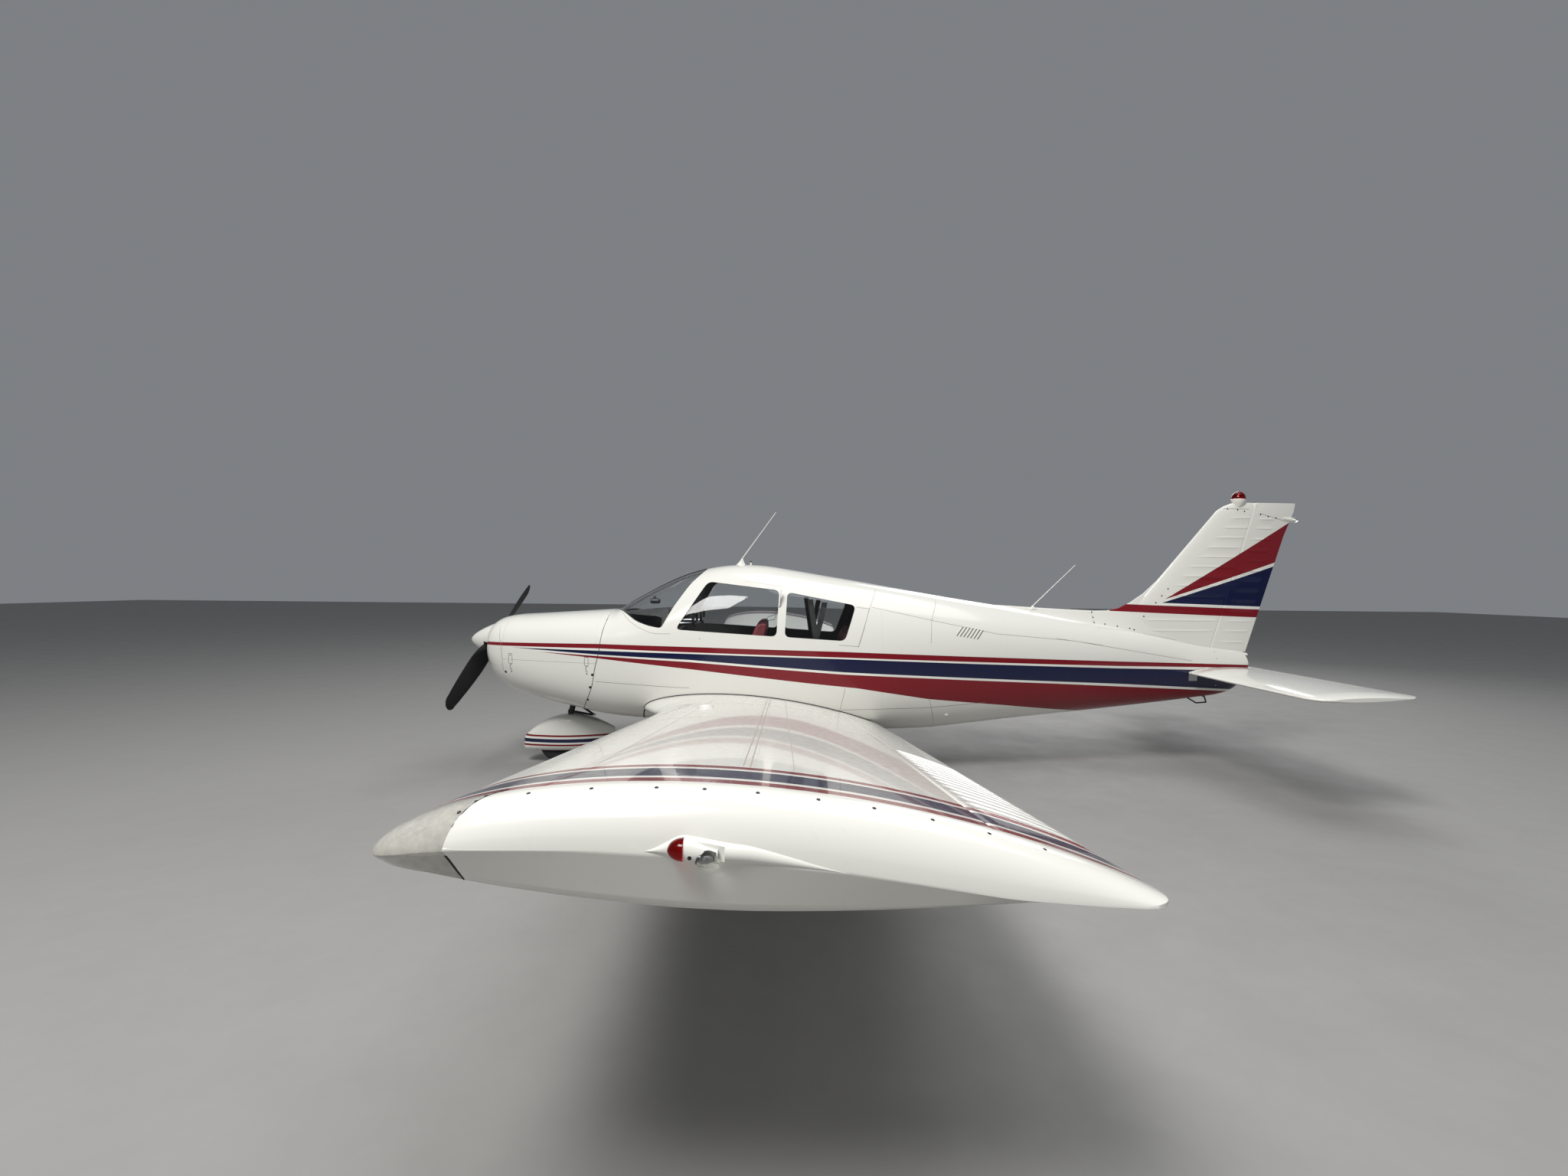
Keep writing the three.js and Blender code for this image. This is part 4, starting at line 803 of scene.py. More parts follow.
def ring_about(name, centre, axis, profile, sides, material):
    """A closed profile of [along, radius] pairs carried round an axis."""
    axis = Vector(axis).normalized()
    side = axis.orthogonal().normalized()
    other = axis.cross(side)
    count, points, faces = len(profile), [], []
    for k, angle in enumerate(around(sides)):
        out = side * math.cos(angle) + other * math.sin(angle)
        points += [tuple(Vector(centre) + axis * along + out * radius) for along, radius in profile]
        for i in range(count):
            j, after = (i + 1) % count, (k + 1) % sides
            faces.append((k * count + i, k * count + j, after * count + j, after * count + i))
    return faced_out(make(name, points, faces, material))


def screws(name, spots, radius=4.5, height=1.2, material=DARK_STEEL):
    """Domed screw heads at (centre, outward direction) pairs."""
    dome = [(-3, radius), (0, radius), (height * 0.6, radius * 0.8), (height, radius * 0.3)]
    return joined(name, [turned("head", centre, out, dome, 12, material) for centre, out in spots])


# Wings, each built flat and then turned up by the dihedral

WING_LE, WING_CHORD, WING_LE_Z, WING_DROP = 1839, 1600, 484, 104
WING_TE = WING_LE + WING_CHORD
WING_THICK, WING_CAMBER = 0.15, 0.4 / (4 * math.pi)
HINGE_STATION, CLEAR = 3125, 6
FLAP_IN, FLAP_OUT, AILERON_OUT, TIP_OUT = 770, 2980, 4500, 4608
WING_ROWS = [(430, 1582), (560, 1600), (700, 1655), (950, 1762), (1250, WING_LE), (AILERON_OUT, WING_LE)]
WING_STEPS = 48
# Powers of the half thickness of an aerofoil 0.2 thick, before and behind its thickest place.
FORE, REAR = (0.222678, -0.026826, -0.191402, 0.008135), (0.002, 0.315, -0.2333, -0.0324)
BASE_THICK, THICKEST_AT = 0.2, 0.4


def half_thickness(x):
    """Half the thickness of the base aerofoil at a share of its chord."""
    r = 1 - x
    fore = FORE[0] * np.sqrt(x) + FORE[1] * x + FORE[2] * x**2 + FORE[3] * x**3
    return np.where(x < THICKEST_AT, fore, REAR[0] + REAR[1] * r + REAR[2] * r**2 + REAR[3] * r**3)


def camber_line(x):
    inside = np.clip(x, 1e-9, 1 - 1e-9)
    return -((1 - inside) * np.log(1 - inside) + inside * np.log(inside))


def aerofoil(thickness, camber, steps):
    """Points from the trailing edge over the top to the nose and back underneath, as shares of the chord."""
    shares = (1 - np.cos(np.pi * np.arange(steps) / (steps - 1))) / 2
    over, under = shares[::-1], shares[1:]
    z = np.concatenate([
        camber * camber_line(over) + half_thickness(over) * thickness / BASE_THICK,
        camber * camber_line(under) - half_thickness(under) * thickness / BASE_THICK,
    ])
    return np.concatenate([over, under]), z


def line_z(station):
    return WING_LE_Z - (station - WING_LE) * WING_DROP / WING_CHORD


def raised(points):
    """Flat wing points of the right wing, turned up about the root."""
    x, span, z = np.asarray(points, float).T
    rise = z - WING_PIVOT_Z
    y = span * math.cos(DIHEDRAL) - rise * math.sin(DIHEDRAL) + SEAT_GAP
    return np.column_stack([x, y, WING_PIVOT_Z + span * math.sin(DIHEDRAL) + rise * math.cos(DIHEDRAL)])


WASHOUT_FROM, WASHOUT_TO, WASHOUT_DROP = 560, 4500, 28


def washout(station, span):
    """How far the skin is lowered: nothing behind the hinge line, most at the leading edge of the tip."""
    fore = np.maximum(0, (HINGE_STATION - np.asarray(station, float)) / (HINGE_STATION - WING_LE))
    return WASHOUT_DROP * max(0.0, (span - WASHOUT_FROM) / (WASHOUT_TO - WASHOUT_FROM)) * fore**1.3


def wing_ring(span):
    leading = np.interp(span, *np.array(WING_ROWS).T)
    x, z = aerofoil(WING_THICK, WING_CAMBER, WING_STEPS)
    station = leading + x * (WING_TE - leading)
    height = line_z(station) + z * WING_CHORD - washout(station, span)
    return raised(ring_of(station, span, height))


def skin_z(station, x, side):
    """Height of the flat wing's top or bottom skin at a station that lies at share x of the chord."""
    return line_z(station) + WING_CHORD * (
        WING_CAMBER * camber_line(x) + side * half_thickness(x) * WING_THICK / BASE_THICK
    )


def wing_height(station, side=1):
    """Height of the flat wing's top or bottom skin, outboard of the root's fillet."""
    return skin_z(station, (np.asarray(station, float) - WING_LE) / WING_CHORD, side)


HINGE_SHARE = np.array((HINGE_STATION - WING_LE) / WING_CHORD)
HINGE_Z = float(line_z(HINGE_STATION) + WING_CAMBER * camber_line(HINGE_SHARE) * WING_CHORD)
NOSE_RADIUS = float(half_thickness(HINGE_SHARE)) * WING_THICK / BASE_THICK * WING_CHORD - 1


def wing_box(x0, x1, s0, s1, z0=200, z1=700):
    made = box("cutter", x0, x1, s0, s1, z0, z1)
    points = np.array([v.co for v in made.data.vertices]) * 1000 + (MIDDLE_STATION, 0, 0)
    for vertex, place in zip(made.data.vertices, metres(raised(points))):
        vertex.co = place
    return made


def hinge_rod(radius, s0, s1):
    ends = raised([(HINGE_STATION, s0, HINGE_Z), (HINGE_STATION, s1, HINGE_Z)])
    return bar("rod", ends[0], ends[1], radius, sides=48)


BEAD_PITCH, BEAD_HEIGHT, BEAD_HALF = 87, 3.2, 9
BEAD_STEPS = (-BEAD_HALF, -6, -3, 0, 3, 6, BEAD_HALF)


def bead(offset):
    """Height share of a pressed ridge at a distance from its middle."""
    share = np.clip(offset / BEAD_HALF, -1, 1)
    return np.where(np.abs(offset) < BEAD_HALF, np.cos(share * math.pi / 2) ** 2, 0.0)


def bead_rise(place, beads):
    return BEAD_HEIGHT * sum((float(bead(place - middle)) for middle in beads), 0.0)


def control_surface(name, s0, s1, beads=()):
    """A flap or aileron: round nose on the hinge line, skin to the trailing edge, ridges along the chord."""
    nose = np.linspace(0.5 * math.pi, 1.5 * math.pi, 17)
    along = np.linspace(0, 1, 22)[1:]
    station = HINGE_STATION + (WING_TE - HINGE_STATION) * along
    top, low = wing_height(station), wing_height(station, -1)
    window = np.clip((along - 0.08) / 0.06, 0, 1) * np.clip((0.94 - along) / 0.05, 0, 1)
    rings = []
    for span in sorted({s0, s1} | {middle + step for middle in beads for step in BEAD_STEPS}):
        rise = bead_rise(span, beads) * window
        rings.append(raised(np.concatenate([
            ring_of(station, span, top + rise)[::-1],
            ring_of(HINGE_STATION + NOSE_RADIUS * np.cos(nose), span, HINGE_Z + NOSE_RADIUS * np.sin(nose)),
            ring_of(station, span, low - rise),
        ])))
    return loft(name, rings, PAINT_WING)


# Wing tip, in slices from its root (v = 0) to its outer edge (v = 1)

TIP_EDGE = [
    (1839, 447), (1900, 461), (2010, 470), (2190, 473), (2250, 473), (2450, 464), (2620, 450), (2800, 434),
    (2980, 408), (3121, 388), (3300, 376), (3445, 370),
]  # [station, height] of the outer edge
TIP_LIFT = [
    (1839, 8), (1890, 11), (1965, 19.5), (2024, 19.5), (2172, 16.5), (2300, 12), (2452, 6), (2600, 3),
    (3445, 3),
]  # [station, rise] of the underside
TIP_BEND_FORE, TIP_BEND_AFT = 165, 64  # how far the nose and the trailing edge bend in at the outer edge
UNDERCUT_FROM, LIFT_WHOLE_AT = 0.55, 0.45
DIP_STATION, DIP_WIDTH, DIP_DEPTH = 1906, 60, 5


def tip_ring(v):
    """A slice of the wing tip, whose top rolls down to an outer edge over a steep undercut face."""
    leading = WING_LE + 4 * v + TIP_BEND_FORE * (1 - math.sqrt(1 - v**5.5))
    trailing = WING_TE + 2 * v - TIP_BEND_AFT * (1 - math.sqrt(1 - v**5))
    span = AILERON_OUT + SEAT_GAP + v * (TIP_OUT - AILERON_OUT - SEAT_GAP)
    x, z = aerofoil(WING_THICK, WING_CAMBER, WING_STEPS)
    station = leading + x * (trailing - leading)
    skin = line_z(station) + z * WING_CHORD - washout(station, span)
    edge = np.interp(station, *np.array(TIP_EDGE).T)
    under = max(0.0, (v - UNDERCUT_FROM) / (1 - UNDERCUT_FROM))
    grown = min(1.0, v / LIFT_WHOLE_AT)
    low = skin + np.interp(station, *np.array(TIP_LIFT).T) * grown**2 * (3 - 2 * grown)
    dip = DIP_DEPTH * np.exp(-(((station - DIP_STATION) / DIP_WIDTH) ** 2)) * v
    rolled = edge + (skin - dip - edge) * math.sqrt(max(0.0, 1 - v**2.2)) + 2 * v
    height = np.where(np.arange(len(x)) < WING_STEPS, rolled, low + (edge - 2 - low) * under)
    return raised(ring_of(station, span, height))


LENS_JOINT = [(1700, 4400), (2078, 4400), (2078, 4470), (2004, 4616), (2004, 4700), (1700, 4700)]
LIGHT_STATION = 2490


def lens_region(grow):
    outline = np.array(LENS_JOINT, float)
    outline[1:5, 0] += grow
    return loft("cutter", [raised(ring_of(*outline.T, z)) for z in (200, 700)])


TIP_SHARES = [
    0, 0.05, 0.12, 0.2, 0.28, 0.36, 0.43, 0.49, UNDERCUT_FROM, 0.62, 0.7, 0.78, 0.84, 0.89, 0.93, 0.96,
    0.98, 1,
]


def build_tip():
    skin = loft("tip_skin", [tip_ring(v) for v in TIP_SHARES])
    tip = copy_of(skin, "wing_tip_right_skin")
    combine(tip, [fairing()], "UNION")
    room = wing_box(LIGHT_STATION - 48, LIGHT_STATION + 68, TIP_OUT + 8, TIP_OUT + 60, 300, 600)
    combine(tip, [lens_region(0), room])
    lens = copy_of(skin, "tip_lens_right_skin")
    hollow = loft("cutter", [tip_ring(v) for v in TIP_SHARES[:-3]])
    shrink_about(hollow, raised([(1960, 4540, 470)])[0], 0.93)
    lens.data.materials[0] = CAP_PLASTIC
    combine(lens, [lens_region(-SEAT_GAP)], "INTERSECT")
    combine(lens, [hollow])
    both_sides(finish_normals(tip, skin, 40), "wing_tip_right", shared=True)
    both_sides(finish_normals(lens, None, 40), "tip_lens_right", slot="clear_lens", shared=True)
    nav_light()
    drop(skin)


def shrink_about(target, centre, share):
    middle = Vector(metres(centre))
    for vertex in target.data.vertices:
        vertex.co = middle + (vertex.co - middle) * share


# Rows of the swelling that carries the navigation light: [station, top, bottom, reach beyond the tip]
FAIRING_ROWS = [
    (2400, 472, 470, 0), (2418, 479, 466, 3), (2436, 488, 461, 6), (2452, 496, 456, 9),
    (2468, 502, 452, 13), (2498, 500, 449, 17), (2528, 495, 448, 17), (2559, 490, 447, 15),
    (2608, 484, 445, 10), (2660, 472, 441, 6), (2713, 458, 437, 3), (2797, 434, 431, 0),
]


def fairing():
    rows, angles = np.array(FAIRING_ROWS, float), around(40)
    rings = []
    for station in np.linspace(rows[0, 0], rows[-1, 0], 40):
        top, bottom, reach = curves_through(rows, station)
        span = TIP_OUT - 14 + np.cos(angles) * (14 + reach)
        rings.append(raised(ring_of(station, span, (top + bottom) / 2 + np.sin(angles) * (top - bottom) / 2)))
    return loft("fairing", rings)


def light_ring(station, span, z, half_span, half_z, sides):
    angles = around(sides, 0.5)
    return raised(ring_of(station, span + np.cos(angles) * half_span, z + np.sin(angles) * half_z))


def nav_light():
    """A coloured half-round glass in front, a white body and a clear faceted lens behind."""
    foot = TIP_OUT + 8.3
    glass = loft("nav_light_right_glass", [
        light_ring(2479 - 31 * math.cos(a), foot + 6, 479, 6 + 18 * math.sin(a), 22 * math.sin(a), 32)
        for a in np.linspace(0.06, math.pi / 2, 14)
    ], LENS_GREEN)
    body_rows = [(2479.4, 20, 22), (2490, 21, 22), (2502, 21, 20), (2520, 16, 16), (2545, 14, 13)]
    body = loft("nav_light_right_body", [
        light_ring(station, foot + 5, 478 - (station - 2479) * 0.2, wide, high, 32)
        for station, wide, high in body_rows
    ])
    lens_rows = [(2503, 14, 12), (2507, 20, 20), (2528, 22, 22), (2542, 18, 19), (2550, 9, 11)]
    lens = loft("nav_light_right_lens", [
        light_ring(station, foot + 7, 463 - (station - 2503) * 0.1, wide, high, 9)
        for station, wide, high in lens_rows
    ], LENS_CLEAR)
    bulb_foot, screw_foot = raised([(2510, foot + 8, 462), (2493, foot + 25, 468)])
    bulb = turned("nav_light_right_bulb", bulb_foot, (1, 0, 0), [(0, 9), (16, 8), (26, 4)], 20)
    head = [(-4, 4), (0.6, 4), (1, 2)]
    screw = turned("nav_light_right_screw", screw_foot, (0, 1, 0.12), head, 16, BLACK_PAINT)
    for piece in (glass, body, lens):
        combine(piece, [wing_box(2300, 2700, 4400, foot, 300, 600)])
    combine(body, [copy_of(lens, "cutter")])
    combine(lens, [copy_of(bulb, "cutter")])
    paint_all(lens, LENS_CLEAR)
    left_glass = both_sides(finish_normals(glass), "nav_light_right", slot="green_lens", left_slot="red_lens")
    left_glass.data.materials[0] = LENS_RED
    for piece, slot in {body: "white_paint", lens: "clear_lens", bulb: "alloy", screw: "dark_steel"}.items():
        both_sides(finish_normals(piece), "nav_light_right", slot=slot)


AILERON_BEADS = [FLAP_OUT + 60 + BEAD_PITCH * i for i in range(15)]
FUEL_CAP = (2230, 1956)


def root_point(station, side):
    """Where the wing's top or bottom skin meets the fuselage."""
    low, high = 300.0, 800.0
    for _ in range(30):
        span = (low + high) / 2
        leading = np.interp(span, *np.array(WING_ROWS).T)
        share = np.clip((station - leading) / (WING_TE - leading), 0, 1)
        place = raised([(station, span, skin_z(station, share, side) - washout(station, span))])[0]
        if place[1] < skin_y(station, place[2]):
            low = span
        else:
            high = span
    return place


CAP_PROFILE = [(-4, 48), (2, 48), (4, 45), (11, 42), (13, 39), (13, 24), (11, 22), (11, 3)]


def build_wings():
    spans = list(range(430, 1260, 30)) + [1500, 2000, 2600, 3200, 3800, AILERON_OUT]
    skin = loft("wing_skin", [wing_ring(s) for s in spans], PAINT_WING)
    wing = copy_of(skin, "wing_right_skin")
    notch = wing_box(HINGE_STATION, WING_TE + 60, FLAP_IN - CLEAR, AILERON_OUT + 10)
    combine(notch, [hinge_rod(NOSE_RADIUS + CLEAR, FLAP_IN - CLEAR, AILERON_OUT + 10)], "UNION")
    combine(wing, [notch, body_solid("cutter", 1210, 4200, 0, 30, 96)])
    flap = control_surface("flap_right_skin", FLAP_IN, FLAP_OUT - CLEAR / 2)
    aileron = control_surface("aileron_right_skin", FLAP_OUT + CLEAR / 2, AILERON_OUT - CLEAR, AILERON_BEADS)
    both_sides(finish_normals(wing, skin), "wing_right", shared=True)
    both_sides(finish_normals(flap), "flap_right", body="flap_right", shared=True)
    both_sides(finish_normals(aileron), "aileron_right", body="aileron_right", shared=True)
    build_tip()
    drop(skin)
    route = [root_point(s, -1) for s in (1700, 1660, 1630, 1608, 1594, 1586)]
    route += [root_point(s, 1) for s in (1586, 1592, 1602, 1618, 1640, *range(1670, 3430, 40))]
    cap_place = raised([(*FUEL_CAP, float(wing_height(FUEL_CAP[0]) - washout(*FUEL_CAP)))])[0]
    for word, side in SIDES.items():
        ready(tube("root_seal_" + word, [place * (1, side, 1) for place in route], 6.5, 8), slot="rubber")
        up = (0, -math.sin(DIHEDRAL) * side, math.cos(DIHEDRAL))
        cap = turned("fuel_cap_" + word, cap_place * (1, side, 1), up, CAP_PROFILE, 40, PAINT)
        ready(finish_normals(cap))


# Tail

HINGE_LEAN = 0.3036
TAIL_THICK = 0.09
FIN_ROWS = np.array([
    (1000, 5403, 6683), (1340, 5686, 6791), (1770, 6045, 6928), (2000, 6237, 7001),
    (2150, 6362, 7062), (2211, 6413, 7086), (2254, 6478, 7095), (2284, 6560, 7098),
])
RUDDER_NOSE_LOW, RUDDER_NOSE_HIGH, HINGE_LOW, HINGE_HIGH = 38, 29, 1020, 2270
DORSAL_ROWS = [
    (4470, 1386, 1330, 6), (4811, 1366, 1290, 26), (5044, 1354, 1250, 40), (5368, 1342, 1190, 55),
    (5476, 1344, 1170, 58), (5576, 1365, 1150, 58), (5676, 1415, 1130, 56), (5790, 1495, 1110, 52),
    (5904, 1603, 1090, 48), (6045, 1765, 1070, 40),
]
RIDGE_HALF, BEAD_RUN_OUT = 15, 14
# Heights of the pressed ridges, and the stations between which they run at some heights.
FIN_BEADS = [1178, 1268, 1396, 1481, 1567, 1647, 1731, 1814, 1897, 1982, 2067, 2152]
FIN_BEAD_START = [
    (1178, 5716), (1220, 5750), (1292, 5835), (1558, 6046), (1735, 6189), (1990, 6409), (2163, 6552),
]
FIN_BEAD_END = [(1168, 6374), (1257, 6401), (1885, 6597), (1978, 6648), (2157, 6689)]
RUDDER_BEADS = [1083, 1176, 1261, 1350, 1437, 1524, 1611, 1698, 1785, 1872, 1969, 2062, 2143]
RUDDER_BEAD_START = [(1083, 6452), (1176, 6480), (1262, 6505), (2151, 6775)]
RUDDER_BEAD_END = [(1071, 6669), (1164, 6696), (1250, 6716), (2145, 6911)]


def hinge_x(z):
    return 6376 + (z - 1051) * HINGE_LEAN


def hinge_bar(z0, z1, r0, r1):
    return bar("rod", (hinge_x(z0), 0, z0), (hinge_x(z1), 0, z1), r0, r1, 48, PAINT_FIN)


def fin_solid(name, beads=(), start=FIN_BEAD_START, end=FIN_BEAD_END, steps=44):
    """The whole fin and rudder in level slices, with ridges between two lines."""
    heights = set(np.linspace(1000, 2150, 24)) | set(FIN_ROWS[:, 0]) | {2180.0, 2232.0, 2270.0}
    heights |= {middle + step for middle in beads for step in BEAD_STEPS}
    share, half = aerofoil(TAIL_THICK, 0, steps)
    rings = []
    for z in sorted(heights):
        leading, trailing = (float(np.interp(z, FIN_ROWS[:, 0], column)) for column in FIN_ROWS.T[1:])
        x, y = leading + share * (trailing - leading), half * (trailing - leading)
        near, far = np.interp(z, *np.array(start).T), np.interp(z, *np.array(end).T)
        window = np.clip((x - near) / BEAD_RUN_OUT, 0, 1) * np.clip((far - x) / BEAD_RUN_OUT, 0, 1)
        rings.append(ring_of(x, y + np.sign(half) * bead_rise(z, beads) * window, z))
    return loft(name, rings, PAINT_FIN)


DORSAL_SHARES = np.array([0, 0.08, 0.15, 0.25, 0.35, 0.5, 0.6, 0.72, 0.85, 0.92, 0.96, 0.985])


def dorsal_ring(station, ridge, base, half):
    out = half * (1 - DORSAL_SHARES) ** 1.6 + RIDGE_HALF * np.sqrt(1 - DORSAL_SHARES**2)
    z = base + DORSAL_SHARES * (ridge - base)
    return ring_of(station, np.concatenate([out, [0], -out[::-1]]), np.concatenate([z, [ridge], z[::-1]]))


def build_fin():
    outline = [(hinge_x(900), 900), (hinge_x(2400), 2400), (7400, 2400), (7400, 900)]
    behind = side_plate("cutter", outline, -200, 200)
    fin = fin_solid("fin_skin", FIN_BEADS)
    combine(fin, [copy_of(behind, "cutter")])
    rows = np.array(DORSAL_ROWS, float)
    at = np.unique(np.concatenate([np.arange(rows[0, 0], rows[-1, 0], 40), rows[:, 0]]))
    columns = [np.interp(at, rows[:, 0], column) for column in rows.T[1:]]
    dorsal = loft("dorsal", [dorsal_ring(*row) for row in zip(at, *columns)], PAINT_FIN)
    dorsal_look = copy_of(dorsal, "dorsal_look")
    combine(fin, [dorsal], "UNION")
    groove = hinge_bar(HINGE_LOW - 30, 2400, RUDDER_NOSE_LOW + CLEAR + 1, RUDDER_NOSE_HIGH + CLEAR - 1)
    combine(fin, [groove, body_solid("cutter", 4300, CONE_BACK, 0, 40, 96)])
    ready(finish_normals(fin, dorsal_look, 30), "fin")
    rudder = fin_solid("rudder_skin", RUDDER_BEADS, RUDDER_BEAD_START, RUDDER_BEAD_END)
    combine(rudder, [behind], "INTERSECT")
    combine(rudder, [hinge_bar(HINGE_LOW, HINGE_HIGH, RUDDER_NOSE_LOW, RUDDER_NOSE_HIGH)], "UNION")
    combine(rudder, [body_solid("cutter", 6000, CONE_BACK, -18, 40, 96)])
    ready(finish_normals(rudder, None, 30), "rudder", body="rudder")
    drop(dorsal_look)


STABILATOR_LE, STABILATOR_CHORD, STABILATOR_THICK = 6115, 720, 0.1
STABILATOR_NOSE_DOWN = math.radians(2.1)
TAB_HINGE, TAB_NOSE, TAB_HALF_SPAN = STABILATOR_LE + STABILATOR_CHORD - 118, 16, 1150
# Rows of one half: [distance out, leading edge, chord, thickness].
STABILATOR_ROWS = [
    (1365, 6115, 720, 0.1), (1400, 6117, 716, 0.1), (1435, 6125, 700, 0.1), (1468, 6141, 664, 0.091),
    (1495, 6165, 610, 0.08), (1513, 6195, 560, 0.066), (1525, 6235, 500, 0.05),
]


def nose_down(target):
    centre = Vector(metres((STABILATOR_PIVOT, 0, STABILATOR_Z)))
    turn = Matrix.Rotation(-STABILATOR_NOSE_DOWN, 4, "Y")
    target.data.transform(Matrix.Translation(centre) @ turn @ Matrix.Translation(-centre))
    return target


def build_stabilator():
    share, half = aerofoil(STABILATOR_THICK, 0, 40)
    rows = [(-y, *rest) for y, *rest in STABILATOR_ROWS[::-1]] + STABILATOR_ROWS
    flat = loft("stabilator_flat", [
        ring_of(leading + share * chord, y, STABILATOR_Z + half * chord * thick / STABILATOR_THICK)
        for y, leading, chord, thick in rows
    ])

    def tab_room(grow):
        half_span = TAB_HALF_SPAN + grow
        return box("cutter", TAB_HINGE, TAB_HINGE + 300, -half_span, half_span, 700, 960)

    def tab_bar(grow):
        return cross_bar(TAB_HINGE, STABILATOR_Z, TAB_HALF_SPAN + grow, TAB_NOSE + grow)

    tail = copy_of(flat, "stabilator_skin")
    corners = np.array([(6000, -150), (6725, -59), (6725, 59), (6000, 150)])
    cone_room = loft("cutter", [ring_of(*corners.T, z) for z in (700, 960)])
    combine(tail, [tab_room(CLEAR), tab_bar(CLEAR), cone_room])
    combine(tail, [cross_bar(STABILATOR_PIVOT, STABILATOR_Z, 260, 35, 48)], "UNION")
    tab = copy_of(flat, "anti_servo_tab_skin")
    combine(tab, [tab_room(0)], "INTERSECT")
    combine(tab, [tab_bar(0)], "UNION")
    nose_down(flat)
    for piece, node in ((tail, "stabilator"), (tab, "anti_servo_tab")):
        ready(finish_normals(nose_down(piece), flat, 35), node, body=node)
    drop(flat)


BEACON_LEAN, BEACON_FOOT, BEACON_GLASS_FOOT = (0.06, 0, 1), (6601, 0, 2233), (6606, 0, 2316)
BEACON_DOME = [(0, 54), (16, 54), (32, 50), (46, 42), (57, 30), (64, 16), (67, 2)]
BEACON_HOUSING = [
    (0, 3), (5, 18), (14, 29), (28, 38), (44, 47), (58, 54), (72, 57), (79, 57), (82, 54), (82.5, 30),
]
TAIL_LIGHT_AXIS = (0.9866, 0, -0.163)


def build_beacon():
    glass = turned("beacon_glass", BEACON_GLASS_FOOT, BEACON_LEAN, BEACON_DOME, 48, LENS_RED)
    ready(finish_normals(glass), "beacon", slot="red_lens")
    ready(finish_normals(turned("beacon_base", BEACON_FOOT, BEACON_LEAN, BEACON_HOUSING, 48, PAINT)))
    bulb = turned("beacon_bulb", BEACON_GLASS_FOOT, BEACON_LEAN, [(1, 12), (20, 12), (36, 9), (44, 2)], 24)
    ready(finish_normals(bulb), slot="alloy")
    cone = [(0, 1), (60, 5), (140, 10), (215, 15), (262, 19), (274, 19), (276, 15)]
    fairing_cone = turned("tail_light_fairing", (6800, 0, 2187), TAIL_LIGHT_AXIS, cone, 32, PAINT)
    ready(finish_normals(fairing_cone), body="rudder")
    profile = [(-6, 12), (18, 12), (32, 9), (40, 3)]
    bulb = turned("tail_light_bulb", (7072, 0, 2142), TAIL_LIGHT_AXIS, profile, 24, PAINT)
    ready(finish_normals(bulb), body="rudder")
    lamp = ellipsoid("tail_light_glass", (7090.3, 0, 2140.3), (37, 14, 22), 32, LENS_CLEAR)
    combine(lamp, [fin_solid("cutter", steps=24)])
    ready(finish_normals(lamp), "tail_light", body="rudder", slot="clear_lens")


# Wheels, fairings and legs


def curve_through(xs, ys, at):
    """A smooth curve through points."""
    xs, ys, at = (np.asarray(v, float) for v in (xs, ys, at))
    slopes = np.gradient(ys, xs)
    i = np.clip(np.searchsorted(xs, at) - 1, 0, len(xs) - 2)
    step = xs[i + 1] - xs[i]
    t = (at - xs[i]) / step
    return (
        (2 * t**3 - 3 * t**2 + 1) * ys[i] + (t**3 - 2 * t**2 + t) * step * slopes[i]
        + (3 * t**2 - 2 * t**3) * ys[i + 1] + (t**3 - t**2) * step * slopes[i + 1]
    )


def curves_through(rows, at):
    """Values of the smooth curves through a table's columns, which all run over its first one."""
    rows = np.array(rows, float)
    return [float(curve_through(rows[:, 0], column, at)) for column in rows.T[1:]]


AXLE_RADIUS, HUB_BOLTS = 18, 6
MAIN_WHEEL, MAIN_TYRE = (2634, 1525, 222), {"radius": 222, "half": 78, "rim": 84}
NOSE_WHEEL, NOSE_TYRE = (775, 0, 180), {"radius": 180, "half": 62, "rim": 66}
GROOVE_PLACES = (-0.56, -0.19, 0.19, 0.56)
GROOVE_PROFILE = [(-3.6, 0), (-2.6, 6), (2.6, 6), (3.6, 0)]  # [offset, depth] pairs across one groove


def tyre(name, centre, size):
    radius, half, rim = size["radius"], size["half"], size["rim"]
    crown = []
    for share in GROOVE_PLACES:
        for off, depth in GROOVE_PROFILE:
            along = share * half + off
            crown.append((along, radius * (1 - 0.02 * (along / (half * 0.5)) ** 2) - depth))
    side = [
        (half * 0.84, radius * 0.91), (half * 0.97, radius * 0.83), (half, (rim + radius) / 2),
        (half * 0.96, rim + (radius - rim) * 0.28), (half * 0.86, rim + 9), (half * 0.80, rim + 5),
        (half * 0.74, rim + 0.4),
    ]
    profile = [(-a, r) for a, r in side[::-1]] + crown + side
    return ring_about(name, centre, (0, 1, 0), profile, 96, RUBBER)


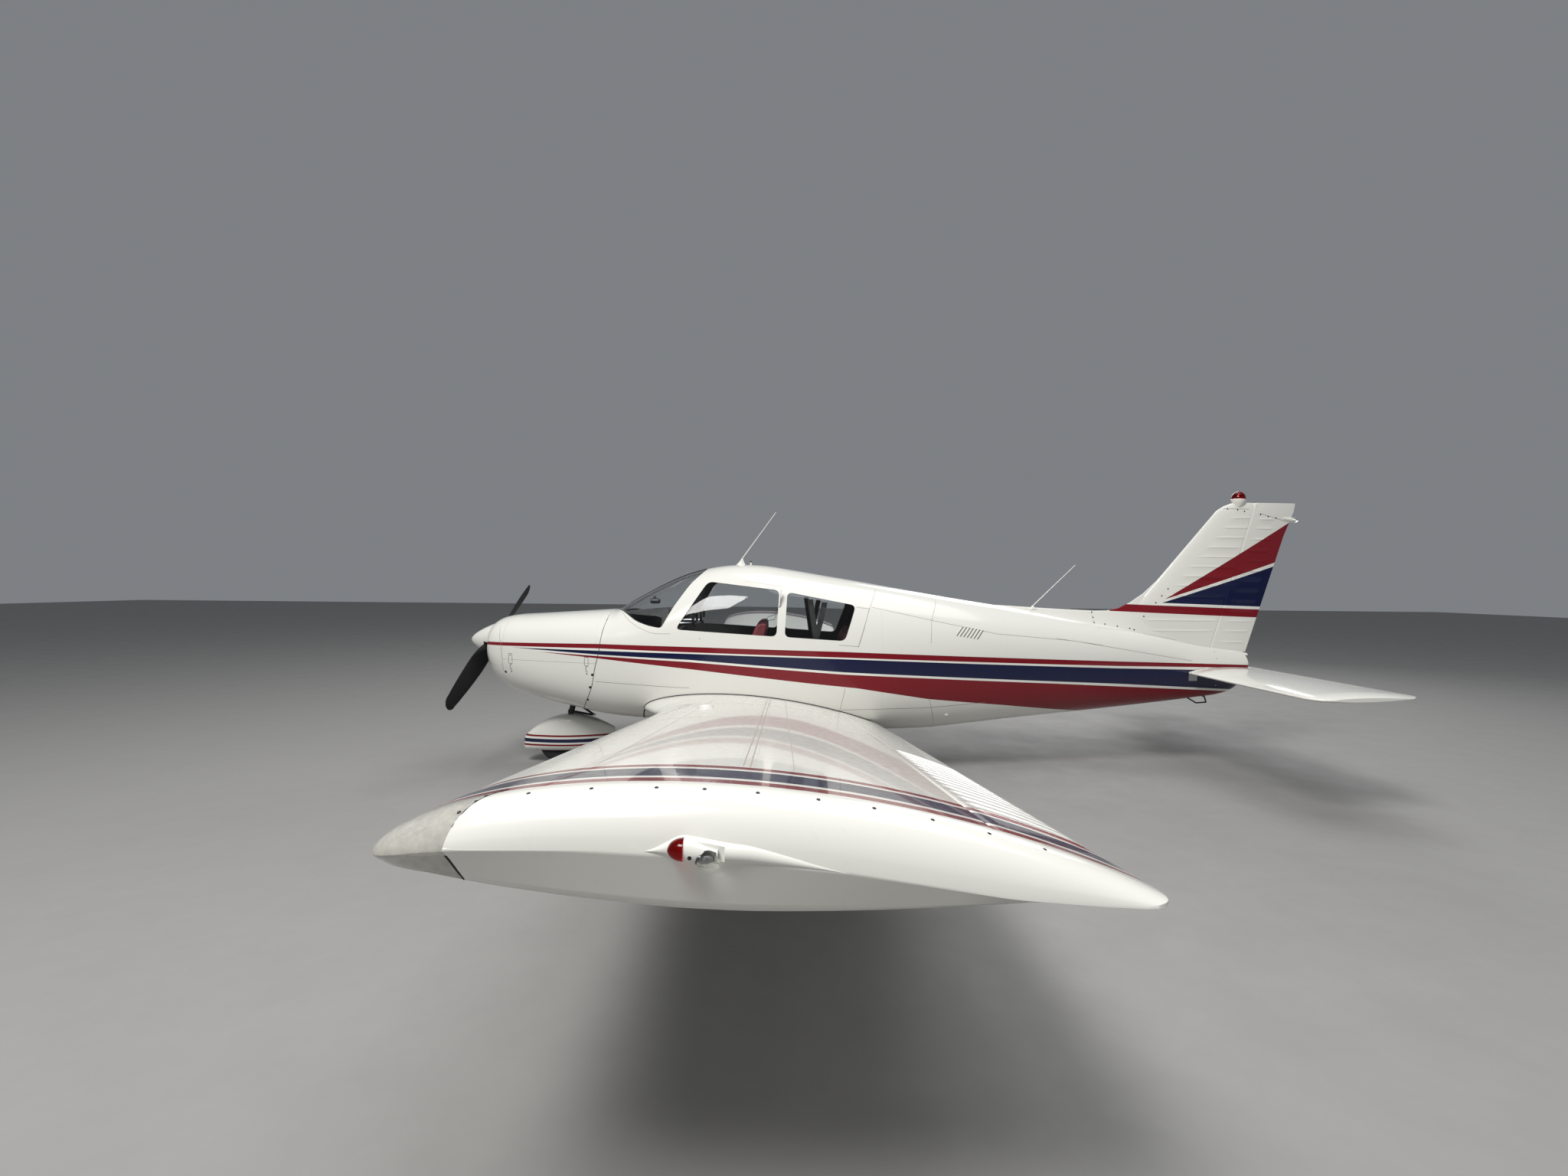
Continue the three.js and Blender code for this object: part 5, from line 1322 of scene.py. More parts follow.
def wheel_hub(name, centre, size):
    half, rim = size["half"], size["rim"]
    edge = half * 0.72
    right = [
        (edge, rim), (edge, rim - 8), (edge - 7, rim - 13), (half * 0.36, rim - 17), (half * 0.30, rim * 0.6),
        (half * 0.34, rim * 0.42), (half * 0.62, rim * 0.38), (half * 0.62, AXLE_RADIUS + 0.9),
    ]
    profile = [(-a, r) for a, r in right[::-1]] + right
    pieces = [ring_about("rim", centre, (0, 1, 0), profile, 72, ALLOY)]
    x, y, z = centre
    bolt_circle = rim * 0.66
    for angle in around(HUB_BOLTS):
        for side in SIDES.values():
            aft, up = bolt_circle * math.sin(angle), bolt_circle * math.cos(angle)
            foot = (x + aft, y + side * half * 0.31, z + up)
            pieces.append(turned("bolt", foot, (0, side, 0), [(-3, 6), (5, 6), (7, 4.5)], 6, DARK_STEEL))
    return joined(name, pieces)


# Rows of a fairing: [aft of the axle, half width, top, bottom]
MAIN_PANT_ROWS = [
    (-352, 12, 262, 222), (-335, 52, 305, 180), (-270, 98, 372, 142), (-160, 128, 438, 124),
    (0, 144, 474, 120), (150, 138, 480, 124), (290, 116, 455, 140), (420, 80, 408, 176),
    (520, 40, 362, 226), (572, 10, 330, 262),
]
NOSE_PANT_ROWS = [
    (-315, 12, 182, 138), (-298, 52, 222, 116), (-245, 86, 280, 106), (-150, 108, 346, 102),
    (-30, 124, 392, 102), (90, 123, 412, 104), (210, 102, 400, 112), (320, 66, 366, 142),
    (410, 34, 328, 192), (462, 10, 300, 240),
]
PANT_WALL = 6


def pant(name, rows, centre, opening, hole):
    """A hollow teardrop that is open round the wheel's foot, with a hole for the strut."""
    start, end = rows[0][0], rows[-1][0]
    at = (start + end) / 2 - np.cos(np.linspace(0, math.pi, 56)) * (end - start) / 2
    bow = lambda values: np.sign(values) * np.abs(values) ** 0.6
    across, rise = bow(np.cos(around(64))), bow(np.sin(around(64)))
    x, y, z = centre

    def skin(inset, chosen):
        rings = []
        for aft in chosen:
            half, top, bottom = curves_through(rows, aft)
            height = (top + bottom) / 2 + rise * ((top - bottom) / 2 - inset)
            rings.append(ring_of(x + aft, y + across * (half - inset), height))
        return loft(name, rings, PAINT_PANT)

    outer = skin(0, at)
    shell = copy_of(outer, name)
    long, wide = opening
    mouth = box("cutter", x - long, x + long, y - wide, y + wide, -50, z - 20)
    combine(shell, [skin(PANT_WALL, at[6:-9]), mouth, hole])
    finish_normals(shell, outer, 40)
    drop(outer)
    return shell


STEER_STATION, STEER_LEAN = 800, 0.25
MAIN_STRUT_Y, MAIN_PANT_Y = 1398, 1492
CROWN_Z, FORK_Y = 372, 78
LINK_APEX = (1060, 0, 401)


def steer_point(z, y=0.0):
    return (STEER_STATION + (z - NOSE_WHEEL[2]) * STEER_LEAN, y, z)


def torque_link(foot_low, foot_high, apex, half, material=DARK_STEEL):
    """Two forked arms that meet at a pin, in the manner of a pair of scissors."""
    across = lambda place, reach: Vector(place) + Vector((0, reach, 0))
    pin = lambda place, reach, finish: bar(
        "pin", across(place, -reach), across(place, reach), 8, material=finish
    )
    pieces = []
    for foot in (foot_low, foot_high):
        for side in SIDES.values():
            start, end = across(foot, side * half), across(apex, side * half * 0.35)
            pieces.append(tube("arm", [start, start.lerp(end, 0.5), end], (9, 7, 7), 12, material))
        pieces.append(pin(foot, half + 6, material))
    return joined("link", pieces + [pin(apex, 20, ALLOY)])


def build_main_gear():
    x, y, z = MAIN_WHEEL
    strut, up, out = (x, MAIN_STRUT_Y, 0), (0, 0, 1), (0, 1, 0)
    tread = finish_normals(tyre("main_tyre_right_skin", MAIN_WHEEL, MAIN_TYRE), None, 40)
    hub = finish_normals(wheel_hub("main_hub_right_skin", MAIN_WHEEL, MAIN_TYRE), None, 40)
    hole = bar("cutter", (x, MAIN_STRUT_Y, 330), (x, MAIN_STRUT_Y, 700), 30.5, sides=64)
    shell = pant("main_pant_right_skin", MAIN_PANT_ROWS, (x, MAIN_PANT_Y, z), (215, 128), hole)
    housing = [
        (330, 29), (335, 30), (352, 36), (366, 36), (370, 30), (470, 30), (474, 36), (492, 36), (497, 44),
        (520, 52), (600, 70),
    ]
    axle = [
        (MAIN_STRUT_Y - 26, 20), (MAIN_STRUT_Y - 22, 26), (y - 56.8, 26), (y - 56.8, 18), (y + 58, 18),
        (y + 60, 12),
    ]
    disc = [(y - 74, 58), (y - 73, 62), (y - 68, 62), (y - 67, 58)]
    link_places = ((x + 30, MAIN_STRUT_Y, 232), (x + 34, MAIN_STRUT_Y, 358), (x + 110, MAIN_STRUT_Y, 296))
    leg = joined("main_leg_right_skin", [
        turned("housing", strut, up, housing, 48),
        turned("piston", strut, up, [(186, 20), (190, 24), (336, 24)], 48),
        turned("axle", (x, 0, z), out, axle, 40),
        turned("disc", (x, 0, z), out, disc, 64, DARK_STEEL),
        box("caliper", x + 34, x + 74, y - 88, y - 60, z - 22, z + 34, DARK_STEEL),
        torque_link(*link_places, 16, ALLOY),
    ])
    both_sides(tread, "main_tyre_right", body="main_wheel_right", slot="rubber")
    both_sides(hub, "main_hub_right", body="main_wheel_right", slot="alloy")
    both_sides(shell, "main_pant_right")
    both_sides(finish_normals(leg, None, 40), "main_leg_right", slot="alloy")


def build_nose_gear():
    tread = finish_normals(tyre("nose_tyre_skin", NOSE_WHEEL, NOSE_TYRE), None, 40)
    ready(tread, "nose_tyre", body="nose_wheel", slot="rubber")
    hub = finish_normals(wheel_hub("nose_hub_skin", NOSE_WHEEL, NOSE_TYRE), None, 40)
    ready(hub, "nose_hub", body="nose_wheel", slot="alloy")
    hole = bar("cutter", steer_point(380), steer_point(560), 24.5, sides=64)
    shell = pant("nose_pant_skin", NOSE_PANT_ROWS, NOSE_WHEEL, (185, 78), hole)
    ready(shell, "nose_pant", body="nose_steering")
    axis = Vector(steer_point(700)) - Vector(steer_point(520))
    slope = axis.length / 180
    housing = [
        (0, 31), (3, 34), (20, 34), (22, 31), (150 * slope, 31), (152 * slope, 34), (215 * slope, 34),
    ]
    strut = joined("nose_strut_skin", [
        turned("housing", steer_point(520), axis, housing, 48, DARK_STEEL),
        *[
            tube("brace", [steer_point(foot, side * 20), (1203, side * 110, end)], radius, 16, DARK_STEEL)
            for foot, end, radius in ((700, 700, 13), (560, 660, 11))
            for side in (LEFT, RIGHT)
        ],
        box("plate", 1190, 1204.5, -120, 120, 642, 738, DARK_STEEL),
    ])
    ready(finish_normals(strut, None, 40), "nose_strut", slot="dark_steel")
    x, _, z = NOSE_WHEEL
    crown_x = steer_point(CROWN_Z)[0]
    blades = []
    for side in SIDES.values():
        route = [
            (x, side * FORK_Y, z), (x + (crown_x - x) * 0.6, side * FORK_Y, z + 120),
            (crown_x - 3, side * (FORK_Y - 4), CROWN_Z - 22), (crown_x, side * (FORK_Y - 26), CROWN_Z - 2),
            (crown_x, side * 20, CROWN_Z),
        ]
        boss = [(0, 26), (10, 26), (12, 22)]
        blades.append(tube("blade", route, 9, 16, DARK_STEEL))
        blades.append(turned("boss", (x, side * (FORK_Y - 6), z), (0, side, 0), boss, 40, DARK_STEEL))
    fork = joined("nose_fork_skin", blades + [
        turned("rod", steer_point(CROWN_Z), axis, [(0, 24), (147 * slope, 24)], 48, DARK_STEEL),
        turned("collar", steer_point(418), axis, [(0, 26), (3, 29), (22, 29), (25, 26)], 48, DARK_STEEL),
        turned("collar", steer_point(492), axis, [(0, 26), (3, 29), (22, 29), (24, 26)], 48, DARK_STEEL),
        bar("axle", (x, -FORK_Y - 4, z), (x, FORK_Y + 4, z), AXLE_RADIUS, material=ALLOY),
        torque_link((steer_point(428)[0] + 30, 0, 426), (steer_point(505)[0] + 30, 0, 503), LINK_APEX, 13),
    ])
    ready(finish_normals(fork, None, 40), "nose_fork", body="nose_steering", slot="dark_steel")


# Propeller, spinner and nose fittings

PROP_STATION, PROP_RADIUS, PROP_TILT = 192, 940, math.radians(28)
SPINNER_RADIUS, SPINNER_BACK, SPINNER_BLUNTNESS = 146, 228, 0.6
SPINNER_SCREW_RADIUS, SPINNER_SCREWS = 141.2, 12
BLADE_ROWS = [
    (40, 78, 46, 60), (120, 92, 32, 48), (200, 118, 24, 40), (330, 142, 17, 31), (520, 146, 12, 22),
    (700, 132, 9, 17.5), (840, 110, 7, 15), (915, 84, 5, 14), (940, 40, 3, 14),
]


def about_thrust(points, turn):
    """Points turned about the propeller's axis, from a blade that points along +Y."""
    x, y, z = np.asarray(points, float).T
    cos, sin = math.cos(turn), math.sin(turn)
    return np.column_stack([x, y * cos - z * sin, y * sin + z * cos + THRUST_Z])


def blade(turn):
    angles = around(40)
    rings = []
    for r in [*range(40, 900, 24), 905, 915, 924, 931, 936, 939, PROP_RADIUS]:
        chord, thick, pitch = curves_through(BLADE_ROWS, r)
        across, deep, twist = np.cos(angles) * chord / 2, np.sin(angles) * thick / 2, math.radians(pitch)
        x = PROP_STATION + across * math.sin(twist) + deep * math.cos(twist)
        rings.append(about_thrust(ring_of(x, r, across * math.cos(twist) - deep * math.sin(twist)), turn))
    return loft("blade", rings, PROP_PAINT)


def blade_slot(turn):
    x0, x1, half = PROP_STATION - 42, PROP_STATION + 42, 46
    return loft("cutter", [
        about_thrust([(x0, r, -half), (x1, r, -half), (x1, r, half), (x0, r, half)], turn) for r in (40, 300)
    ])


def build_propeller():
    ahead, turns = (1, 0, 0), (PROP_TILT, PROP_TILT + math.pi)
    hub_profile = [(-42, 60), (-38, 72), (40, 72), (45, 66), (45, 42), (69.7, 42)]
    hub = turned("hub", (PROP_STATION, 0, THRUST_Z), ahead, hub_profile, 64, DARK_STEEL)
    propeller = joined("propeller_skin", [*map(blade, turns), hub])
    ready(finish_normals(propeller, None, 50), "propeller", body="propeller", slot="propeller_black")
    shares = np.linspace(0, 1, 40) ** 1.8
    profile = [(share * SPINNER_BACK, SPINNER_RADIUS * share**SPINNER_BLUNTNESS) for share in shares]
    spinner = turned("spinner_skin", (0, 0, THRUST_Z), ahead, profile, 96, PAINT)
    look = copy_of(spinner, "look")
    room = bar("cutter", (PROP_STATION - 42.3, 0, THRUST_Z), (400, 0, THRUST_Z), 72.6, sides=96)
    combine(spinner, [room, *map(blade_slot, turns)])
    ready(finish_normals(spinner, look, 40), "spinner", body="propeller")
    drop(look)
    spots = []
    for angle in around(SPINNER_SCREWS, 0.5) + PROP_TILT:
        y, z = SPINNER_SCREW_RADIUS * math.cos(angle), SPINNER_SCREW_RADIUS * math.sin(angle)
        out = Vector((-0.12, math.cos(angle), math.sin(angle)))
        spots.append((Vector((SPINNER_BACK - 12, y, THRUST_Z + z)), out))
    ready(screws("spinner_screws", spots, 4, 1.2, ALLOY), body="propeller", slot="alloy")


def build_nose_fittings():
    centre, ahead = (0, 0, LAMP_Z), (-1, 0, 0)
    lens_profile = [(-300, 60), (-296, 74), (-292, 77), (-288, 76), (-284.5, 60), (-283, 30), (-282.5, 3)]
    bowl_profile = [
        (-340, 8), (-334, 30), (-322, 52), (-304, 70), (-301, 74), (-302, 66), (-320, 48), (-331, 28),
        (-336, 6),
    ]
    glass = turned("landing_light_lens", centre, ahead, lens_profile, 64, LENS_CLEAR)
    ready(finish_normals(glass, None, 40), "landing_light", slot="clear_lens")
    bowl = turned("landing_light_bowl", centre, ahead, bowl_profile, 64)
    ready(finish_normals(bowl, None, 40), slot="alloy")
    route = [(930, 120, 790), (985, 130, 675), (1034, 139, 570), (1062, 142, 500), (1085, 145, 430)]
    exhaust = tube("exhaust_pipe_skin", route, 28, 32, DARK_STEEL)
    combine(exhaust, [tube("cutter", [(1070, 143, 477), (1090, 146, 417)], 25, 32, DARK_STEEL)])
    ready(finish_normals(exhaust, None, 40), "exhaust_pipe", slot="dark_steel")


# Aerials, pitot mast, step


def whip(node, foot, foot_half, top_of_foot, tip):
    """A thin rod on a swept foot."""
    angles = around(32)
    rings = []
    for share in (0, 0.1, 0.3, 0.6, 0.85, 1):
        x, y, z = Vector(foot).lerp(Vector(top_of_foot), share)
        spread = foot_half * (1 - share) ** 1.3
        long, wide = spread + 7 * share, spread * 0.45 + 6 * share
        rings.append(ring_of(x + long * np.cos(angles), y + wide * np.sin(angles), z))
    start, end = Vector(top_of_foot), Vector(tip)
    route = [start.lerp(end, share) for share in (-0.04, 0.0, 0.3, 0.6, 0.9, 0.98, 1)]
    pieces = [loft("foot", rings), tube("rod", route, (5, 4.6, 4, 3.4, 3, 2.8, 1.6), 16, PAINT)]
    ready(finish_normals(joined(node + "_skin", pieces), None, 40), node)


def build_aerials():
    whip("comm_antenna", (2311, 0, 1700), 46, (2325, 0, 1764), (2613, 0, 2166))
    whip("nav_antenna", (4838, 0, 1350), 40, (4838, 0, 1378), (5204, 0, 1736))
    knob = joined("roof_knob", [
        turned("stem", (2399, 0, 1700), (0, 0, 1), [(0, 9), (30, 7), (32, 7)], 24, PAINT),
        turned("cap", (2399, 0, 1730), (0, 0, 1), [(0, 8), (2, 9), (9, 8), (11, 4)], 24, DARK_STEEL),
    ])
    ready(finish_normals(knob))
    probe = joined("air_probe", [
        tube("stem", [(1866, 0, 1590), (1846, 0, 1634), (1825, 0, 1678)], (3.5, 2.5, 2), 12, ALLOY),
        turned("base", (1862, 0, 1600), (-0.4, 0, 0.9), [(0, 13), (4, 13), (8, 7), (14, 5)], 24, DARK_STEEL),
    ])
    ready(finish_normals(probe), slot="alloy")


PITOT_PLACE, PITOT_REACH = (2260, -2420), 180


def build_pitot_and_step():
    x, y = PITOT_PLACE
    top, angles = WING_PIVOT_Z - y * math.tan(DIHEDRAL), around(40)
    foot = top - PITOT_REACH
    blade_rings = [
        ring_of(x + shift + long * np.cos(angles), y + 7 * np.sin(angles), z)
        for z, shift, long in ((foot - 10, -8, 16), (foot + 20, -6, 20), (top - 60, 0, 22), (top - 20, 0, 22))
    ]
    probe = [(-18, 4), (-10, 10), (40, 10), (66, 8), (70, 5), (60, 3)]
    head = turned("tube", (x, y, foot), (-1, 0, 0), probe)
    pitot = joined("pitot_mast_skin", [loft("blade", blade_rings), head])
    ready(finish_normals(pitot, None, 40), "pitot_mast")
    leg_route = [(3534, 345, 505), (3562, 415, 388), (3588, 495, 276), (3592, 510, 268)]
    step = joined("boarding_step_skin", [
        tube("leg", leg_route, (14, 12, 11, 11), 20, DARK_STEEL),
        box("tread", 3545, 3640, 460, 560, 262, 271, DARK_STEEL),
        box("grip", 3549, 3636, 464, 556, 270.5, 274, RUBBER),
    ])
    ready(finish_normals(step, None, 40), "boarding_step", slot="dark_steel")


# Cabin furniture


def strap(name, route, width, across, thick=2.4, material=SEAL_AND_SLOT_SHADE):
    """A flat belt along a route, with its width in the direction of across."""
    across = Vector(across).normalized() * width / 2
    rings = []
    for place, ahead in along_route(route):
        lift = ahead.cross(across).normalized() * thick / 2
        corners = (across + lift, -across + lift, -across - lift, across - lift)
        rings.append(np.array([place + corner for corner in corners]))
    return loft(name, rings, material)


CUSHION_VOXEL, CUSHION_CAP, CUSHION_INSET, CUSHION_ROUNDING = 0.010, 0.014, 12, 40
CLOTH_FRAMES, CLOTH_PRESSURE, CUSHION_FILL = 20, 4, 0.7


def cushion(name, side, y0, y1):
    """The plain start of a cushion, from its side view."""
    outline = rounded_outline(side, CUSHION_ROUNDING, CUSHION_INSET)
    piece = side_plate(name, outline, y0 + CUSHION_INSET, y1 - CUSHION_INSET, SEAT_CLOTH)
    remesh = piece.modifiers.new("even", "REMESH")
    remesh.mode, remesh.voxel_size = "VOXEL", CUSHION_VOXEL
    apply_modifiers(piece)
    return piece


def puff(pieces):
    """Fills the cushions as cloth under pressure, and caps how far each point moves."""
    starts = {piece.name: [v.co.copy() for v in piece.data.vertices] for piece in pieces}
    for piece in pieces:
        cloth = piece.modifiers.new("pad", "CLOTH")
        cloth.settings.use_pressure = True
        cloth.settings.uniform_pressure_force = CLOTH_PRESSURE
        cloth.settings.effector_weights.gravity = 0
        cloth.settings.quality = 4
        cloth.point_cache.frame_start, cloth.point_cache.frame_end = 1, CLOTH_FRAMES
    for number in range(1, CLOTH_FRAMES + 1):
        bpy.context.scene.frame_set(number)
    for piece in pieces:
        apply_modifiers(piece)
        for vertex, start in zip(piece.data.vertices, starts[piece.name]):
            move = vertex.co - start
            if move.length > CUSHION_CAP:
                vertex.co = start + move.normalized() * CUSHION_CAP
    bpy.context.scene.frame_set(1)


SEWN_DEPTH, SEWN_WIDTH, SIDE_SEAM_WIDTH, SIDE_SEAM_IN = 0.005, 5, 4, 24
EDGE_TURN, CORE_HALF = 0.6, 20  # where no channel is sewn: faces turned sideways, and the cushion's core


def sew(piece, middle, lean, channels, side_seams):
    """Presses sewn channels into a cushion's broad faces, and a seam near each of its ends."""
    fine = piece.modifiers.new("fine", "SUBSURF")
    fine.levels = fine.render_levels = 1
    apply_modifiers(piece)
    mesh = piece.data
    broad = Vector((math.cos(lean), 0, math.sin(lean)))
    moves = []
    for vertex in mesh.vertices:
        x, y, z = vertex.co * 1000
        off = Vector((x + MIDDLE_STATION - middle[0], 0, z - middle[1]))
        press = sum(math.exp(-(((y - c) / SEWN_WIDTH) ** 2)) for c in channels)
        if abs(vertex.normal.y) >= EDGE_TURN or abs(off.dot(broad)) <= CORE_HALF:
            press = 0
        seam = max(math.exp(-((abs(y - side) / SIDE_SEAM_WIDTH) ** 2)) for side in side_seams)
        moves.append(vertex.normal * -SEWN_DEPTH * min(1.0, max(press, seam * 0.8)))
    for vertex, move in zip(mesh.vertices, moves):
        vertex.co += move
    mesh.shade_smooth()


FLOOR_Z, BACK_FOOT, BACK_LEAN = 640, 905, 0.39
# Seats: front edge, top of the back, inner and outer side, and the number of sewn channels.
SEATS = {
    "front_seat_right": (1920, 1240, 45, 470, 5),
    "front_seat_left": (1920, 1240, -470, -45, 5),
    "rear_bench": (2700, 1190, -452, 452, 10),
}


def cushion_pair(node):
    """The starts of a seat's cushion and backrest, inside the seat's solid."""
    front, top, y0, y1, _ = SEATS[node]
    lean = (top - BACK_FOOT) * BACK_LEAN
    base = [(2, 826), (2, 912), (62, 932), (424, 906), (470, 826)]
    back = [(436, 860), (432, 905), (432 + lean, top - 2), (506 + lean, top - 2), (552, 846), (500, 826)]
    return [
        cushion(f"{node}_{word}", [(front + aft, z) for aft, z in outline], y0, y1)
        for word, outline in (("cushion", base), ("backrest", back))
    ]


def build_seats():
    made = {node: cushion_pair(node) for node in SEATS}
    puff([piece for pair in made.values() for piece in pair])
    for node, (base, back) in made.items():
        front, _, y0, y1, count = SEATS[node]
        channels = [y0 + (y1 - y0) * (k + 1) / (count + 1) for k in range(count)]
        places = ((base, (front + 235, 870), math.pi / 2), (back, (front + 520, 1030), 0.3))
        for piece, middle, lean in places:
            sew(piece, middle, lean, channels, (y0 + SIDE_SEAM_IN, y1 - SIDE_SEAM_IN))
            ready(piece, node, slot="seat_cloth")
        feet = [(front + aft, y) for aft in (130, 440) for y in (y0 + 45, y1 - 45)]
        ready(joined(node + "_frame", [
            box("well", front + 95, front + 465, y0 + 20, y1 - 20, FLOOR_Z + 0.3, 700, TRIM),
            box("pan", front + 20, front + 492, y0 + 12, y1 - 12, 790, 824, TRIM),
            *[bar("leg", (x, y, 690), (x, y, 800), 12, material=ALLOY) for x, y in feet],
        ]), node, slot="cabin_trim")


PANEL_NORMAL = Vector((0.995674, 0, -0.09293))


def panel_point(y, z, off=0.0):
    """A point on the panel's aft face."""
    return Vector((1768 - (1300 - z) * 28 / 300, y, z)) + PANEL_NORMAL * off


def dial(y, z, radius, needle):
    profile, edge = [(0, radius), (2, radius), (2.4, radius * 0.2)], [(0, 4), (5, 3), (5, 0), (1, -1)]
    face = turned("face", panel_point(y, z, -1), PANEL_NORMAL, profile, 32, BLACK_PAINT)
    rim = [(along, radius + more) for along, more in edge]
    bezel = ring_about("bezel", panel_point(y, z), PANEL_NORMAL, rim, 32, DARK_STEEL)
    tip = Vector((0, math.sin(needle), math.cos(needle))) * radius * 0.75
    route = [panel_point(y + tip.y * share, z + tip.z * share, 3) for share in (0, 0.5, 1)]
    return [face, bezel, tube("hand", route, (1.6, 1.3, 0.6), 6, LINING)]


PANEL_OUTLINE = [
    (1330, 1302), (1560, 1320), (1735, 1331), (1756, 1328), (1767, 1316), (1768, 1300), (1740, 1000),
    (1710, 1000), (1715, 1262), (1690, 1280), (1330, 1296),
]
DIAL_COLUMNS, DIAL_ROWS, DIAL_RADIUS = (-330, -240, 150, 240), (1240, 1155), 39
SMALL_DIALS, SMALL_DIAL_ROW, SMALL_DIAL_RADIUS = (-420, 330, 405), 1200, 28
RADIO_ROWS, LEVERS, YOKE_COLUMNS = (1236, 1190, 1148, 1108), (-18, 0, 18), (-260, 260)


def build_panel():
    plate = side_plate("panel_plate", PANEL_OUTLINE, -495, 495, TRIM)
    room = body_solid("cutter", COWL_BACK - 10, CABIN_BACK - 25, WALL + 0.5, 45, 96, TRIM)
    combine(plate, [room], "INTERSECT")
    pieces = [plate, box("pedestal", 1240, 1712, -45, 45, FLOOR_Z + 0.3, 1030, TRIM)]
    for y in DIAL_COLUMNS:
        for z in DIAL_ROWS:
            pieces += dial(y, z, DIAL_RADIUS, 0.7 + y * 0.01 + z * 0.02)
    for y in SMALL_DIALS:
        pieces += dial(y, SMALL_DIAL_ROW, SMALL_DIAL_RADIUS, y * 0.02)
    for z in RADIO_ROWS:
        x = panel_point(0, z).x
        pieces.append(box("radio", x - 2, x + 5, -78, 78, z - 19, z + 19, BLACK_PAINT))
        for y in (-62, 62):
            knob = [(0, 9), (13, 8), (15, 6)]
            pieces.append(turned("knob", panel_point(y, z, 5), PANEL_NORMAL, knob, 20, DARK_STEEL))
    for k, (y, material) in enumerate(zip(LEVERS, (BLACK_PAINT, ALLOY, SEAT_CLOTH))):
        pieces.append(bar("lever", panel_point(y, 1040), panel_point(y, 1048, 60 - 8 * k), 4, material=ALLOY))
        pieces.append(ellipsoid("lever_knob", panel_point(y, 1049, 66 - 8 * k), (11, 9, 11), 20, material))
    for y in YOKE_COLUMNS:
        pieces += yoke(y)
    panel = finish_normals(joined("instrument_panel_skin", pieces), None, 35)
    ready(panel, "instrument_panel", slot="cabin_trim")
    bowl = [(0, 14), (4, 21), (20, 23), (60, 23), (78, 20), (84, 12)]
    compass = joined("compass", [
        turned("bowl", (1536, 0, 1390), (1, 0, 0), bowl, 40, BLACK_PAINT),
        box("bracket", 1560, 1584, -7, 7, 1408, 1432, BLACK_PAINT),
    ])
    ready(finish_normals(compass), slot="cabin_trim")


GRIP_ROUTE = [(20, 1214), (60, 1210), (100, 1214), (117, 1232), (119, 1270), (112, 1318)]


def yoke(y):
    routes = [[(1954, y + side * out, z) for out, z in GRIP_ROUTE] for side in (LEFT, RIGHT)]
    grips = [tube("grip", route, (12, 12, 12, 12, 12, 11), 16, BLACK_PAINT) for route in routes]
    return grips + [
        turned("hub", (1940, y, 1214), (1, 0, 0), [(0, 20), (4, 26), (24, 26), (28, 20)], 32, BLACK_PAINT),
        bar("column", (1745, y, 1215), (1942, y, 1215), 11, material=ALLOY),
        turned("collar", (1762, y, 1215), (1, 0, 0), [(-4, 24), (3, 24), (8, 14)], 32, DARK_STEEL),
    ]


FRONT_BELT = [
    (2662, 500, 1500), (2655, 485, 1380), (2610, 430, 1262), (2548, 330, 1246), (2492, 300, 1190),
    (2440, 280, 1040), (2385, 262, 930),
]
REAR_BELTS = [
    ([(2894, 452, 1426), (2920, 452, 1260), (2941, 452, 1111)], (1, 0, 0.1)),
    ([(3010, 450, 1403), (2980, 451, 1260), (2945, 452, 1111)], (1, 0, -0.1)),
]


def build_harness():
    straps = []
    for side in SIDES.values():
        on_side = lambda route: [(x, side * y, z) for x, y, z in route]
        straps.append(strap("belt", on_side(FRONT_BELT), 46, (0, 1, 0)))
        straps += [strap("rear_belt", on_side(route), 44, across) for route, across in REAR_BELTS]
    ready(joined("harness", straps), slot="seat_cloth")


def dress_kept_nodes():
    """Gives the frame's nodes that stay in view their finish."""
    for node, material in {"cabin_floor": TRIM, "firewall": ALLOY, "engine_block": ENGINE}.items():
        paint_all(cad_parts[node], material)


# Seams, screws and other fine lines

SKINS = {
    "body": ["cowl_top_skin", "cowl_bottom_skin", "cabin_shell_skin", "tailcone_skin", "fin_skin"],
    "rudder": ["rudder_skin"],
    "wing": ["wing_right_skin", "wing_tip_right_skin", "tip_lens_right_skin"],
}


def search_tree(names):
    """A tree for finding places on the faces of finished skins, in millimetres."""
    points, faces = [], []
    for name in names:
        mesh, start = bpy.data.objects[name].data, len(points)
        points += [vertex.co * 1000 + Vector((MIDDLE_STATION, 0, 0)) for vertex in mesh.vertices]
        faces += [[start + i for i in face.vertices] for face in mesh.polygons]
    return BVHTree.FromPolygons(points, faces)


def even_route(points, step, bend):
    """Points about every step along a line, which bends smoothly or runs straight between its corners."""
    points = np.array(points, float)
    lengths = np.concatenate([[0], np.cumsum(np.linalg.norm(np.diff(points, axis=0), axis=1))])
    at = np.unique(np.concatenate([np.linspace(0, lengths[-1], int(lengths[-1] / step) + 2), lengths]))
    follow = curve_through if bend and len(points) > 2 else lambda xs, ys, t: np.interp(t, xs, ys)
    return np.column_stack([follow(lengths, column, at) for column in points.T])


def side_spot(tree, side, station, z):
    """Where the skin lies beside a station and height, and its outward direction."""
    place, out, _, _ = tree.ray_cast(Vector((station, side * 750, z)), Vector((0, -side, 0)))
    return place, out


def wing_spot(tree, station, span, over=1):
    """Where the right wing's skin lies over or under a place of the flat wing."""
    up = Vector((0, -math.sin(DIHEDRAL), math.cos(DIHEDRAL))) * over
    start = Vector(raised([(station, span, WING_PIVOT_Z)])[0]) + up * 400
    place, out, _, _ = tree.ray_cast(start, -up)
    return place, out


